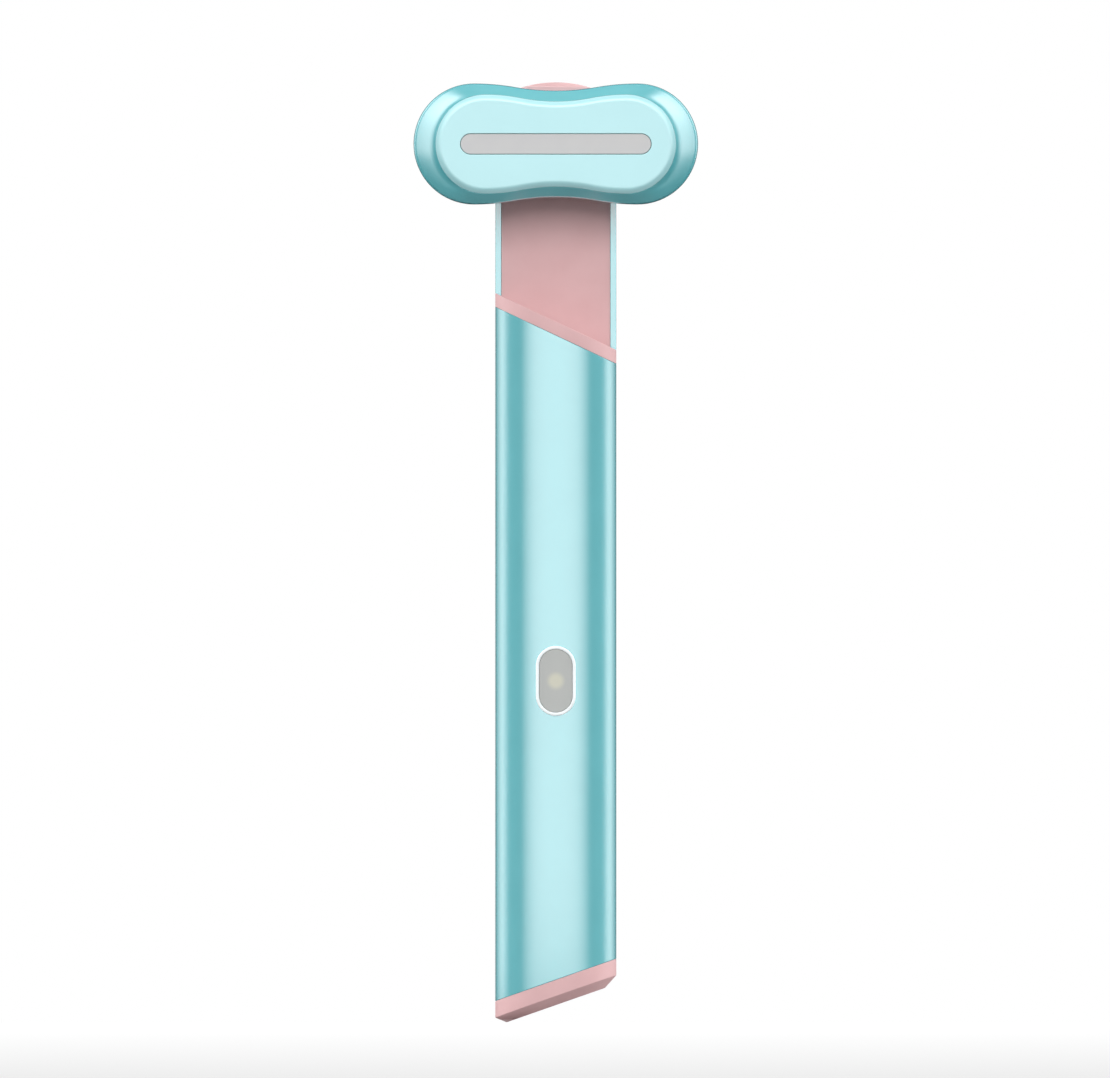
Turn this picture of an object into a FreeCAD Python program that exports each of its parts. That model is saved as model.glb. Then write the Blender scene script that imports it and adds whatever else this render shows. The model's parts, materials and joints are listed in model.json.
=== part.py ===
import FreeCAD, Part
import math
import os

from FreeCAD import Placement, Rotation, Vector

# Heated eye massager wand, in millimetres.
# It stands upright: +Z runs from the grip to the head, and the treatment face looks along -Y.
# The origin is on the handle's axis, at the middle of the plain length that a holder grips.
# Heights are given above the lowest tip of the end cap, and height() turns them into Z.
# Depths inside the head are given forward of its back face, and head_y() turns them into Y.

# Handle tube and its ends
tube_r = 10.5
tube_wall = 1.05
grip_height = 32.0
end_face_height = 2.98
end_joint_height = 7.35
end_slope = 0.35
end_chamfer_wide = 2.1
end_chamfer_high = 1.5
end_spigot_top_height = 17.0
collar_height = 119.2
collar_band = 2.4
collar_slope = -0.471
collar_lip = 2.0
neck_length = 38.9
crown_height = 5.0
crown_r = 20.0
top_lip = 2.0
trim_wall = 1.3

# Neck inlay and swivel
inlay_recess = 0.4
inlay_thickness = 1.6
inlay_boss_wall = 1.0
inlay_boss_length = 1.3
swivel_drop = 5.7
shaft_r = 3.5
shaft_bore_r = 2.3
bush_wall = 0.9
bush_flange_r = 5.4
bush_flange = 0.8
bush_overhang = 0.2
washer_thickness = 0.4
washer_width = 1.4
clip_thickness = 0.5
clip_width = 1.6
clip_groove = 0.4
clip_opening_deg = 70.0
shaft_tail = 0.4
stop_circle_r = 6.6
stop_pin_r = 0.6
stop_depth = 0.55
stop_groove_depth = 0.7
neck_screw_circle_r = 7.6
neck_screw_angle_deg = 35.0

# Head: an outline with two round lobes and a waist, given by lobe place, lobe radius and waist
head_gap = 0.45
head_depth = 12.15
head_lobe_x = 14.19
head_lobe_r = 10.5
head_waist = 9.28
head_wall = 1.3
head_back_fillet = 1.6
head_joint_depth = 4.6
head_lip = 1.0
bevel_start_depth = 7.75
bevel_shoulder_depth = 10.0
bevel_shoulder_share = 0.14
bevel_shoulder_sections = 4
bevel_brow_depth = 10.9
bevel_brow_share = 0.7
bevel_seam_depth = 11.4
plate_lobe_x = 12.25
plate_lobe_r = 8.85
plate_waist = 7.65
plate_wall = 0.8
plate_rim = 2.4
plate_edge_r = 1.2
plate_gap = 0.12
ledge_thickness = 1.2
ledge_width = 1.8
window_end_margin = 4.5
window_width = 3.65
window_recess = 0.1
window_flange_width = 0.8
window_flange = 0.6
film_thickness = 0.3
film_margin = 0.5
led_count = 9
led_size = 2.0
led_height = 0.8
led_board_thickness = 0.8
led_board_margin = 0.9
board_post_r = 0.8
board_post_spread = 2.0
shaft_flange_r = 6.6
shaft_flange = 1.0
shaft_boss_r = 7.0
shaft_boss = 1.3
shaft_screw_circle_r = 5.2
bezel_screw_x = 9.5
bezel_screw_z = 5.9
bezel_ear_r = 2.0
bezel_boss_r = 1.5
motor_r = 3.0
motor_length = 10.0
motor_inner_x = 8.0
motor_floor_gap = 0.5
motor_shaft_r = 0.4
motor_shaft_grip = 3.0
cradle_thickness = 1.2
cradle_width = 7.6
motor_pad_inset = 1.0
weight_r = 2.6
weight_length = 3.4
weight_gap = 0.8
thermistor_x = 12.0
thermistor_z = 4.6
thermistor_r = 0.45
thermistor_length = 2.6

# Button
button_height = 59.25
ring_width = 6.9
ring_length = 12.1
ring_rim = 0.55
ring_proud = 0.3
ring_flange_width = 1.0
ring_flange = 0.8
button_gap = 0.1
button_proud = 0.15
button_flange_width = 0.45
button_flange = 0.6
button_flange_gap = 0.35
button_travel = 0.4
light_guide_r = 1.45

# Inner tray, board and battery
tray_wall = 1.1
tray_bulkhead = 1.2
battery_play = 0.3
battery_clearance = 1.3
battery_air = 4.4
battery_top_drop = 3.2
battery_nub_r = 2.2
battery_nub = 0.5
rib_count = 3
rib_thickness = 1.2
foam_width = 8.0
foam_length = 24.0
board_side_gap = 0.55
board_thickness = 1.0
board_bottom_height = 10.8
board_above_button = 8.2
board_screw_x = 5.0
board_screw_low_height = 26.0
board_screw_drop = 7.4
post_r = 1.6
switch_size = 6.0
switch_thickness = 3.4
switch_well = 1.1
plunger_r = 1.7
plunger_reach = 1.5
connector_x = 3.7
connector_width = 5.0
connector_thickness = 3.4
connector_length = 4.5
controller_size = 5.0
chip_thickness = 0.9
charger_size = 3.0
coil_size = 3.2
coil_thickness = 1.8
power_row_drop = 4.5
crystal_rise = 7.0
passive_width = 0.8
passive_length = 1.6
passive_thickness = 0.8
passive_rows = 4
passive_pitch = 2.8
passive_x = 5.0

# USB-C inlet, standard sizes
socket_width = 8.94
socket_thickness = 3.26
socket_length = 7.35
socket_wall = 0.3
socket_mouth_height = 6.2
tongue_width = 6.69
tongue_thickness = 0.7
tongue_length = 4.45
plug_pocket_width = 12.8
plug_pocket_thickness = 7.0

# Wires
lead_r = 0.6
harness_r = 0.9
lead_bend = 1.0
harness_bend = 1.5
motor_lead_r = 0.35
motor_lead_gap = 0.14
lead_side_angle_deg = 8.0
harness_air = 0.8

# Screws and clearances
screw_r = 0.7
screw_head_r = 1.3
screw_head = 0.7
screw_grip = 1.7
fit = 0.05
press = 0.01
running = 0.05
thrust_play = 0.05
seat_gap = 0.05

# Values that follow from the sizes above
bore_r = tube_r - tube_wall
inside_r = bore_r - fit
tray_inner_r = inside_r - tray_wall
battery_r = tray_inner_r - battery_clearance
inlay_back = inlay_recess + inlay_thickness
tray_front = inlay_back + seat_gap
bush_r = shaft_r + running + bush_wall
bush_back = inlay_back + inlay_boss_length + bush_overhang
washer_back = bush_back + washer_thickness
clip_front = washer_back + thrust_play
clip_back = clip_front + clip_thickness
shaft_back = clip_back + shaft_tail
board_front = socket_thickness / 2 + seat_gap
board_back = board_front + board_thickness
board_half_width = math.sqrt(tray_inner_r ** 2 - board_back ** 2) - board_side_gap
board_top_height = button_height + board_above_button
battery_bottom_height = board_top_height + battery_air
neck_joint_height = collar_height + neck_length
neck_top_height = neck_joint_height + crown_height
swivel_height = neck_joint_height - swivel_drop
window_length = 2 * (plate_lobe_x + plate_lobe_r - window_end_margin)
reach = 4 * tube_r


def height(above_tip):
    return above_tip - grip_height


def head_y(depth):
    return -head_gap - depth


battery_top_height = collar_height + collar_slope * tube_r - battery_top_drop
swivel_z = height(swivel_height)
button_z = height(button_height)
plate_foot_depth = head_depth - plate_rim
plate_inner_depth = head_depth - plate_wall
window_flange_depth = plate_inner_depth - window_flange
led_top_depth = window_flange_depth - 0.5 * led_height
led_board_depth = led_top_depth - led_height - led_board_thickness
motor_depth = head_wall + motor_floor_gap + motor_r
motor_y = head_y(motor_depth)
lead_side_r = (battery_r + bore_r) / 2


def box(x0, x1, y0, y1, z0, z1):
    return Part.makeBox(x1 - x0, y1 - y0, z1 - z0, Vector(x0, y0, z0))


def rod_up(radius, z0, z1, x=0.0, y=0.0):
    return Part.makeCylinder(radius, z1 - z0, Vector(x, y, z0))


def rod_front(radius, y_back, y_front, x=0.0, z=0.0):
    return Part.makeCylinder(radius, y_back - y_front, Vector(x, y_back, z), Vector(0, -1, 0))


def rod_side(radius, x0, x1, y, z):
    return Part.makeCylinder(radius, x1 - x0, Vector(x0, y, z), Vector(1, 0, 0))


def fused(first, *others):
    return first.multiFuse(list(others)).removeSplitter()


def capsule(size_x, size_y):
    """Closed outline with two straight sides and two round ends, about the origin in XY."""
    end_r = min(size_x, size_y) / 2
    half = max(size_x, size_y) / 2 - end_r
    outline = Part.Wire([
        Part.LineSegment(Vector(-half, end_r), Vector(half, end_r)).toShape(),
        Part.Arc(Vector(half, end_r), Vector(half + end_r, 0), Vector(half, -end_r)).toShape(),
        Part.LineSegment(Vector(half, -end_r), Vector(-half, -end_r)).toShape(),
        Part.Arc(Vector(-half, -end_r), Vector(-half - end_r, 0), Vector(-half, end_r)).toShape(),
    ])
    if size_y > size_x:
        outline.rotate(Vector(0, 0, 0), Vector(0, 0, 1), 90)
    return outline


def waisted(lobe_x, lobe_r, waist):
    """Closed outline of two round lobes joined by a waist, as tangent arcs about the origin in XY."""
    rise = lobe_r - waist
    sweep_r = (lobe_x ** 2 + rise ** 2) / (4 * rise)
    half_turn = math.asin(lobe_x / 2 / sweep_r) / 2
    join = Vector(lobe_x / 2, (lobe_r + waist) / 2)
    shoulder = Vector(lobe_x - sweep_r * math.sin(half_turn), lobe_r - sweep_r * (1 - math.cos(half_turn)))

    def turned(point, side, level):
        return Vector(point.x * side, point.y * level)

    top = Vector(lobe_x, lobe_r)
    tip = Vector(lobe_x + lobe_r, 0)
    dip = Vector(0, waist)
    edges = []
    for side, level in ((1, 1), (-1, -1)):
        edges.append(Part.Arc(turned(join, -side, level), turned(dip, side, level), turned(join, side, level)))
        edges.append(Part.Arc(turned(join, side, level), turned(shoulder, side, level), turned(top, side, level)))
        edges.append(Part.Arc(turned(top, side, level), turned(tip, side, level), turned(top, side, -level)))
        edges.append(Part.Arc(turned(top, side, -level), turned(shoulder, side, -level), turned(join, side, -level)))
    return Part.Wire([edge.toShape() for edge in edges])


def head_outline(inset=0.0):
    return waisted(head_lobe_x, head_lobe_r - inset, head_waist - inset)


def plate_outline(inset=0.0):
    return waisted(plate_lobe_x, plate_lobe_r - inset, plate_waist - inset)


def face_front(shape, y, x=0.0, z=0.0):
    """Turns a shape drawn in XY so that its X stays X, its Y points up and its Z points to the front."""
    shape.Placement = Placement(Vector(x, y, z), Rotation(Vector(1, 0, 0), 90))
    return shape


def front_prism(outline, y_back, y_front, x=0.0, z=0.0):
    return face_front(Part.Face(outline).extrude(Vector(0, 0, y_back - y_front)), y_back, x, z)


def head_prism(outline, depth0, depth1):
    return front_prism(outline, head_y(depth0), head_y(depth1), 0.0, swivel_z)


def up_prism(outline, z0, z1, x=0.0, y=0.0):
    solid = Part.Face(outline).extrude(Vector(0, 0, z1 - z0))
    solid.translate(Vector(x, y, z0))
    return solid


def slanted(above_tip, slope, thickness, y0=-reach, y1=reach):
    """Slab whose base crosses the axis at a height and rises along X; thickness may be negative."""
    base = height(above_tip)
    corners = [
        Vector(-reach, y0, base - slope * reach),
        Vector(reach, y0, base + slope * reach),
        Vector(reach, y0, base + slope * reach + thickness),
        Vector(-reach, y0, base - slope * reach + thickness),
    ]
    return Part.Face(Part.makePolygon(corners + corners[:1])).extrude(Vector(0, y1 - y0, 0))


def lead(points, radius, bend):
    """Round wire along straight runs joined by tangent arcs."""
    edges = []
    start = points[0]
    for before, corner, after in zip(points, points[1:], points[2:]):
        into = (corner - before).normalize()
        out = (after - corner).normalize()
        half_turn = into.getAngle(out) / 2
        arc_start = corner - into * (bend * math.tan(half_turn))
        arc_end = corner + out * (bend * math.tan(half_turn))
        inward = (out - into).normalize()
        arc_middle = corner + inward * (bend / math.cos(half_turn) - bend)
        edges.append(Part.LineSegment(start, arc_start).toShape())
        edges.append(Part.Arc(arc_start, arc_middle, arc_end).toShape())
        start = arc_end
    edges.append(Part.LineSegment(start, points[-1]).toShape())
    section = Part.Wire(Part.makeCircle(radius, points[0], points[1] - points[0]))
    return Part.Wire(edges).makePipeShell([section], True, False)


def front_screw(x, z, y_seat, grip):
    """Pan-head screw driven from the front: its head sits before y_seat, its shank goes grip deep."""
    head = rod_front(screw_head_r, y_seat, y_seat - screw_head, x, z)
    shank = rod_front(screw_r - fit, y_seat + grip, y_seat, x, z)
    return fused(head, shank)


# Handle

def button_hole():
    return front_prism(capsule(ring_width + 2 * fit, ring_length + 2 * fit), 0.0, -reach, 0.0, button_z)


def body_tube():
    tube = rod_up(tube_r, height(0), height(neck_joint_height)).cut(
        rod_up(bore_r, height(0), height(neck_joint_height)))
    below_joint = slanted(end_joint_height, end_slope, -reach)
    neck_opening = slanted(collar_height, collar_slope, 2 * neck_top_height, -reach, 0.0)
    return tube.cut([below_joint, neck_opening, button_hole()])


def end_cap():
    blank = rod_up(tube_r, height(0) - tube_r, height(end_spigot_top_height))
    body = blank.common(slanted(end_face_height, end_slope, end_joint_height - end_face_height))
    rim = min(body.Edges, key=lambda edge: edge.CenterOfMass.z + (0 if edge.isClosed() else reach))
    body = body.makeChamfer(end_chamfer_high, end_chamfer_wide, [rim])
    ring = rod_up(inside_r, height(0), height(end_spigot_top_height)).cut(
        rod_up(inside_r - trim_wall, height(0), height(end_spigot_top_height)))
    floor = rod_up(inside_r, height(0), height(socket_mouth_height) + trim_wall)
    below_joint = slanted(end_joint_height, end_slope, -reach)
    pocket = up_prism(capsule(plug_pocket_width, plug_pocket_thickness), -reach, height(socket_mouth_height))
    slot = up_prism(capsule(socket_width + 2 * fit, socket_thickness + 2 * fit), -reach, 0.0)
    return fused(body, ring.cut(below_joint), floor.cut(below_joint)).cut([pocket, slot])


def collar():
    band = slanted(collar_height, collar_slope, collar_band)
    lid = rod_up(tube_r, height(0), height(neck_top_height)).common(band)
    lid = lid.common(box(-reach, reach, -reach, 0.0, -reach, 3 * neck_top_height))
    tongue = rod_up(inside_r, height(0), height(neck_top_height)).common(band)
    tongue = tongue.common(box(-reach, reach, -tube_wall, inlay_recess - seat_gap, -reach, 3 * neck_top_height))
    lip = rod_up(inside_r, height(0), height(neck_top_height)).cut(
        rod_up(inside_r - trim_wall, height(0), height(neck_top_height)))
    lip = lip.common(slanted(collar_height, collar_slope, -collar_lip, -reach, 0.0))
    return fused(lid, tongue, lip)


def top_cap():
    crown = Part.makeSphere(crown_r, Vector(0, 0, height(neck_top_height) - crown_r))
    crown = crown.common(rod_up(tube_r, height(neck_joint_height), height(neck_top_height)))
    crown = crown.common(box(-reach, reach, 0.0, reach, 0.0, height(neck_top_height)))
    lip = rod_up(inside_r, height(neck_joint_height) - top_lip, height(neck_joint_height)).cut(
        rod_up(inside_r - trim_wall, height(neck_joint_height) - top_lip, height(neck_joint_height)))
    lip = lip.common(box(-reach, reach, tray_front, reach, 0.0, height(neck_joint_height)))
    return fused(crown, lip)


# Neck inlay and swivel, fixed half

def neck_screw_places():
    angle = math.radians(neck_screw_angle_deg)
    drop = neck_screw_circle_r * math.sin(angle)
    return [(side * neck_screw_circle_r * math.cos(angle), swivel_z - drop) for side in (-1, 1)]


def neck_plate():
    plate = rod_up(inside_r, height(0), height(neck_joint_height))
    plate = plate.common(box(-reach, reach, inlay_recess, inlay_back, -reach, height(neck_joint_height)))
    plate = plate.cut(slanted(collar_height, collar_slope, -2 * neck_top_height))
    boss = rod_front(bush_r + inlay_boss_wall, inlay_back + inlay_boss_length, inlay_back, 0.0, swivel_z)
    holes = [rod_front(bush_r + press, reach, -reach, 0.0, swivel_z)]
    holes.append(rod_front(stop_pin_r + press, reach, -reach, 0.0, swivel_z - stop_circle_r))
    for x, z in neck_screw_places():
        holes.append(rod_front(screw_r, reach, -reach, x, z))
        holes.append(rod_front(screw_head_r + fit, inlay_recess + screw_head, -reach, x, z))
    return fused(plate, boss).cut(holes)


def neck_screws():
    seat = inlay_recess + screw_head
    grip = inlay_back - seat + screw_grip
    return Part.makeCompound([front_screw(x, z, seat, grip) for x, z in neck_screw_places()])


def swivel_bush():
    sleeve = rod_front(bush_r, bush_back, inlay_recess, 0.0, swivel_z)
    flange = rod_front(bush_flange_r, inlay_recess, inlay_recess - bush_flange, 0.0, swivel_z)
    return fused(sleeve, flange).cut(rod_front(shaft_r + running, reach, -reach, 0.0, swivel_z))


def wave_washer():
    ring = rod_front(shaft_r + running + washer_width, washer_back, bush_back, 0.0, swivel_z)
    return ring.cut(rod_front(shaft_r + running, reach, -reach, 0.0, swivel_z))


def stop_pin():
    return rod_front(stop_pin_r, inlay_back, head_y(stop_depth), 0.0, swivel_z - stop_circle_r)


# Swivel, turning half

def shaft_screw_places():
    offset = shaft_screw_circle_r * math.sqrt(0.5)
    return [(side * offset, swivel_z + level * offset) for side in (-1, 1) for level in (-1, 1)]


def swivel_shaft():
    flange_back = head_wall + shaft_boss
    flange = rod_front(shaft_flange_r, head_y(flange_back), head_y(flange_back + shaft_flange), 0.0, swivel_z)
    stem = rod_front(shaft_r, shaft_back, head_y(flange_back), 0.0, swivel_z)
    cuts = [rod_front(shaft_bore_r, reach, -reach, 0.0, swivel_z)]
    groove = rod_front(shaft_r + fit, clip_back, clip_front, 0.0, swivel_z)
    cuts.append(groove.cut(rod_front(shaft_r - clip_groove, reach, -reach, 0.0, swivel_z)))
    for x, z in shaft_screw_places():
        cuts.append(rod_front(screw_r, 0.0, -reach, x, z))
    return fused(flange, stem).cut(cuts)


def shaft_screws():
    seat = head_y(head_wall + shaft_boss + shaft_flange)
    return Part.makeCompound([front_screw(x, z, seat, shaft_flange + screw_grip) for x, z in shaft_screw_places()])


def retaining_clip():
    inner_r = shaft_r - clip_groove + fit
    clip = rod_front(inner_r + clip_width, clip_back, clip_front + press, 0.0, swivel_z)
    clip = clip.cut(rod_front(inner_r, reach, -reach, 0.0, swivel_z))
    half_gap = reach * math.tan(math.radians(clip_opening_deg / 2))
    mouth = [Vector(0, 0, 0), Vector(half_gap, -reach, 0), Vector(-half_gap, -reach, 0)]
    wedge = Part.Wire(Part.makePolygon(mouth + mouth[:1]))
    return clip.cut(front_prism(wedge, reach, -reach, 0.0, swivel_z))


# Head

def bezel_screw_places():
    return [(side * bezel_screw_x, swivel_z + level * bezel_screw_z) for side in (-1, 1) for level in (-1, 1)]


def board_post_places():
    outer = window_length / 2 - board_post_r
    inner = outer / 2
    return [(x, swivel_z + level * board_post_spread) for x in (inner, outer) for level in (-1, 1)]


def stop_groove():
    """Half ring under the swivel axis, with round ends, that the stop pin runs in."""
    half_width = stop_pin_r + head_gap * 2 / 3
    start = head_y(-head_gap)
    end = head_y(stop_groove_depth)
    ring = rod_front(stop_circle_r + half_width, start, end, 0.0, swivel_z)
    ring = ring.cut(rod_front(stop_circle_r - half_width, start, end, 0.0, swivel_z))
    ring = ring.common(box(-reach, reach, -reach, reach, swivel_z - reach, swivel_z))
    ends = [rod_front(half_width, start, end, side * stop_circle_r, swivel_z) for side in (-1, 1)]
    return ring.multiFuse(ends)


def head_back():
    shell = head_prism(head_outline(), 0.0, head_joint_depth)
    rear_edges = [edge for edge in shell.Edges if abs(edge.BoundBox.YMax - head_y(0.0)) < fit
                  and abs(edge.BoundBox.YMin - head_y(0.0)) < fit]
    shell = shell.makeFillet(head_back_fillet, rear_edges)
    shell = shell.cut(head_prism(head_outline(head_wall), head_wall, head_joint_depth))
    shell = shell.cut(head_prism(head_outline(head_wall / 2), head_joint_depth - head_lip, head_joint_depth))
    boss = rod_front(shaft_boss_r, head_y(head_wall), head_y(head_wall + shaft_boss), 0.0, swivel_z)
    rims = [boss]
    cuts = [stop_groove(), rod_front(shaft_r + fit, 0.0, -reach, 0.0, swivel_z)]
    for x, z in bezel_screw_places():
        rims.append(rod_front(bezel_boss_r, head_y(head_wall), head_y(plate_foot_depth - ledge_thickness - fit), x, z))
        cuts.append(rod_front(screw_r, head_y(plate_foot_depth - screw_grip - ledge_thickness), -reach, x, z))
    for x, z in board_post_places():
        rims.append(rod_front(board_post_r, head_y(head_wall), head_y(led_board_depth - fit), x, z))
    for x, z in shaft_screw_places():
        cuts.append(rod_front(screw_r, head_y(head_wall + shaft_boss - screw_grip), -reach, x, z))
    for x0 in (-motor_inner_x - 2 * cradle_thickness, -motor_inner_x - motor_length + cradle_thickness):
        rims.append(box(x0, x0 + cradle_thickness, head_y(motor_depth), head_y(head_wall),
                        swivel_z - cradle_width / 2, swivel_z + cradle_width / 2))
    cuts.append(rod_side(motor_r + fit, -motor_inner_x - motor_length, -motor_inner_x, motor_y, swivel_z))
    return fused(shell, *rims).cut(cuts)


def bezel_section(share, depth):
    """Outline on the way from the head's side wall, at share 0, to the treatment plate, at share 1."""
    outline = waisted(
        head_lobe_x + (plate_lobe_x - head_lobe_x) * share,
        head_lobe_r + (plate_lobe_r - head_lobe_r) * share,
        head_waist + (plate_waist - head_waist) * share)
    return face_front(outline, head_y(depth), 0.0, swivel_z)


def bevel():
    """Round shoulder above the head's side wall, then a gentle slope up to the treatment plate, as a loft."""
    wires = []
    for step in range(bevel_shoulder_sections):
        angle = math.pi / 2 * step / (bevel_shoulder_sections - 1)
        rise = (bevel_shoulder_depth - bevel_start_depth) * math.sin(angle)
        wires.append(bezel_section(bevel_shoulder_share * (1 - math.cos(angle)), bevel_start_depth + rise))
    wires.append(bezel_section(bevel_brow_share, bevel_brow_depth))
    wires.append(bezel_section(1.0, bevel_seam_depth))
    return Part.makeLoft(wires, True, True)


def head_bezel():
    side = head_prism(head_outline(), head_joint_depth, bevel_start_depth)
    lip = head_prism(head_outline(head_wall / 2 + fit), head_joint_depth - head_lip + fit, head_joint_depth)
    body = fused(side, bevel(), lip)
    ledge_depth = plate_foot_depth - ledge_thickness
    inside = head_prism(head_outline(head_wall), head_joint_depth - head_lip, ledge_depth)
    seat = head_prism(plate_outline(-plate_gap), plate_foot_depth, head_depth)
    opening = head_prism(plate_outline(ledge_width), 0.0, head_depth)
    ears = []
    holes = []
    for x, z in bezel_screw_places():
        ears.append(rod_front(bezel_ear_r, head_y(ledge_depth), head_y(plate_foot_depth), x, z))
        holes.append(rod_front(screw_r, 0.0, -reach, x, z))
    frame = body.cut([inside, seat, opening])
    return fused(frame, *ears).cut(holes)


def bezel_screws():
    seat = head_y(plate_foot_depth)
    return Part.makeCompound([front_screw(x, z, seat, ledge_thickness + screw_grip) for x, z in bezel_screw_places()])


def face_plate():
    plate = head_prism(plate_outline(), plate_foot_depth, head_depth)
    front_edges = [edge for edge in plate.Edges if abs(edge.BoundBox.YMin - head_y(head_depth)) < fit
                   and abs(edge.BoundBox.YMax - head_y(head_depth)) < fit]
    plate = plate.makeFillet(plate_edge_r, front_edges)
    hollow = head_prism(plate_outline(plate_wall), plate_foot_depth, plate_inner_depth)
    slot = head_prism(capsule(window_length, window_width), 0.0, 2 * head_depth)
    return plate.cut([hollow, slot])


def led_window():
    lens = head_prism(capsule(window_length - 2 * fit, window_width - 2 * fit),
                      plate_inner_depth, head_depth - window_recess)
    flange = head_prism(capsule(window_length + 2 * window_flange_width, window_width + 2 * window_flange_width),
                        window_flange_depth, plate_inner_depth)
    return fused(lens, flange)


def heating_film():
    film = head_prism(plate_outline(plate_wall + film_margin), plate_inner_depth - film_thickness, plate_inner_depth)
    grow = 2 * window_flange_width + 2 * film_margin
    return film.cut(head_prism(capsule(window_length + grow, window_width + grow), 0.0, head_depth))


def thermistor():
    y = head_y(plate_inner_depth - film_thickness - thermistor_r)
    bead = rod_side(thermistor_r, thermistor_x, thermistor_x + thermistor_length, y, swivel_z + thermistor_z)
    return bead.makeChamfer(thermistor_r / 2, [edge for edge in bead.Edges if edge.isClosed()])


def led_board():
    half_length = window_length / 2 + led_board_margin
    half_width = window_width / 2 + led_board_margin
    return box(-half_length, half_length, head_y(led_board_depth + led_board_thickness), head_y(led_board_depth),
               swivel_z - half_width, swivel_z + half_width)


def head_leds():
    pitch = (window_length - window_width) / (led_count - 1)
    back = head_y(led_board_depth + led_board_thickness)
    leds = []
    for number in range(led_count):
        x = (number - (led_count - 1) / 2) * pitch
        leds.append(box(x - led_size / 2, x + led_size / 2, back - led_height, back,
                        swivel_z - led_size / 2, swivel_z + led_size / 2))
    return Part.makeCompound(leds)


def vibration_motor():
    far = -motor_inner_x - motor_length
    can = rod_side(motor_r, far, -motor_inner_x, motor_y, swivel_z)
    nose = rod_side(motor_r / 3, far - weight_gap / 2, far, motor_y, swivel_z)
    bore = rod_side(motor_shaft_r + running, far - weight_gap, far + motor_shaft_grip + thrust_play, motor_y, swivel_z)
    return fused(can, nose).cut(bore)


def eccentric_weight():
    far = -motor_inner_x - motor_length
    outer = far - weight_gap - weight_length
    weight = rod_side(weight_r, outer, far - weight_gap, motor_y, swivel_z)
    weight = weight.cut(box(outer, far, motor_y - reach, motor_y + reach, swivel_z + motor_shaft_r, swivel_z + reach))
    return fused(weight, rod_side(motor_shaft_r, outer, far + motor_shaft_grip, motor_y, swivel_z))


def motor_foam():
    x0 = -motor_inner_x - motor_length + motor_pad_inset
    x1 = -motor_inner_x - motor_pad_inset
    top = head_y(motor_depth + motor_r)
    return box(x0, x1, head_y(led_board_depth), top, swivel_z - window_width / 2, swivel_z + window_width / 2)


# Button

def button_ring():
    outer = front_prism(capsule(ring_width, ring_length), 0.0, -reach, 0.0, button_z)
    skirt = front_prism(
        capsule(ring_width + 2 * ring_flange_width, ring_length + 2 * ring_flange_width), 0.0, -reach, 0.0, button_z)
    inner = front_prism(
        capsule(ring_width - 2 * ring_rim, ring_length - 2 * ring_rim), 0.0, -reach, 0.0, button_z)
    span = (button_z - ring_length, button_z + ring_length)
    front = outer.common(rod_up(tube_r + ring_proud, *span))
    flange = skirt.common(rod_up(inside_r, *span))
    return fused(front, flange).cut([inner, rod_up(inside_r - ring_flange, *span)])


def power_button():
    shrink = 2 * (ring_rim + button_gap)
    cap = front_prism(capsule(ring_width - shrink, ring_length - shrink), 0.0, -reach, 0.0, button_z)
    span = (button_z - ring_length, button_z + ring_length)
    cap = cap.common(rod_up(tube_r + button_proud, *span))
    grow = 2 * button_flange_width - shrink
    flange = front_prism(capsule(ring_width + grow, ring_length + grow), 0.0, -reach, 0.0, button_z)
    flange_r = inside_r - ring_flange - button_flange_gap
    flange = flange.common(rod_up(flange_r, *span))
    cap = fused(cap, flange).cut(rod_up(flange_r - button_flange, *span))
    guide = rod_front(light_guide_r, plunger_front(), -flange_r + button_flange / 2, 0.0, button_z)
    return fused(cap, guide)


def plunger_front():
    return board_front - switch_thickness - plunger_reach


def switch_plunger():
    inner_end = board_front - switch_thickness + switch_well - button_travel - fit
    return rod_front(plunger_r, inner_end, plunger_front(), 0.0, button_z)


def tact_switch():
    front = board_front - switch_thickness
    half = switch_size / 2
    body = box(-half, half, front, board_front, button_z - half, button_z + half)
    return body.cut(rod_front(plunger_r + running, front + switch_well, -reach, 0.0, button_z))


# Board, battery and tray

def board_screw_places():
    high = button_z - board_screw_drop
    return [(side * board_screw_x, z) for side in (-1, 1) for z in (height(board_screw_low_height), high)]


def main_board():
    board = box(-board_half_width, board_half_width, board_front, board_back,
                height(board_bottom_height), height(board_top_height))
    return board.cut([rod_front(screw_r, reach, -reach, x, z) for x, z in board_screw_places()])


def board_screws():
    grip = board_thickness + screw_grip
    return Part.makeCompound([front_screw(x, z, board_front, grip) for x, z in board_screw_places()])


def on_board(width, length, thickness, x, z):
    """Component that stands on the front of the board."""
    return box(x - width / 2, x + width / 2, board_front - thickness, board_front, z - length / 2, z + length / 2)


def board_chips():
    low = height(board_screw_low_height)
    high = button_z - board_screw_drop
    middle = (low + high) / 2
    power_row = low - power_row_drop
    chips = [
        on_board(controller_size, controller_size, chip_thickness, 0.0, middle),
        on_board(charger_size, charger_size, chip_thickness, -0.6 * charger_size, power_row),
        on_board(coil_size, coil_size, coil_thickness, 0.8 * coil_size, power_row),
        on_board(2 * passive_length, passive_length, passive_thickness, 0.0, middle + crystal_rise),
    ]
    for row in range(passive_rows):
        z = middle + (row - (passive_rows - 1) / 2) * passive_pitch
        for side in (-1, 1):
            chips.append(on_board(passive_width, passive_length, passive_thickness, side * passive_x, z))
    return Part.makeCompound(chips)


def indicator_led():
    z = button_z - switch_size / 2 - passive_length
    return on_board(led_size, passive_length, passive_thickness, 0.0, z)


def connector(side):
    z = height(board_top_height) - connector_length / 2 - seat_gap
    return on_board(connector_width, connector_length, connector_thickness, side * connector_x, z)


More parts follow.
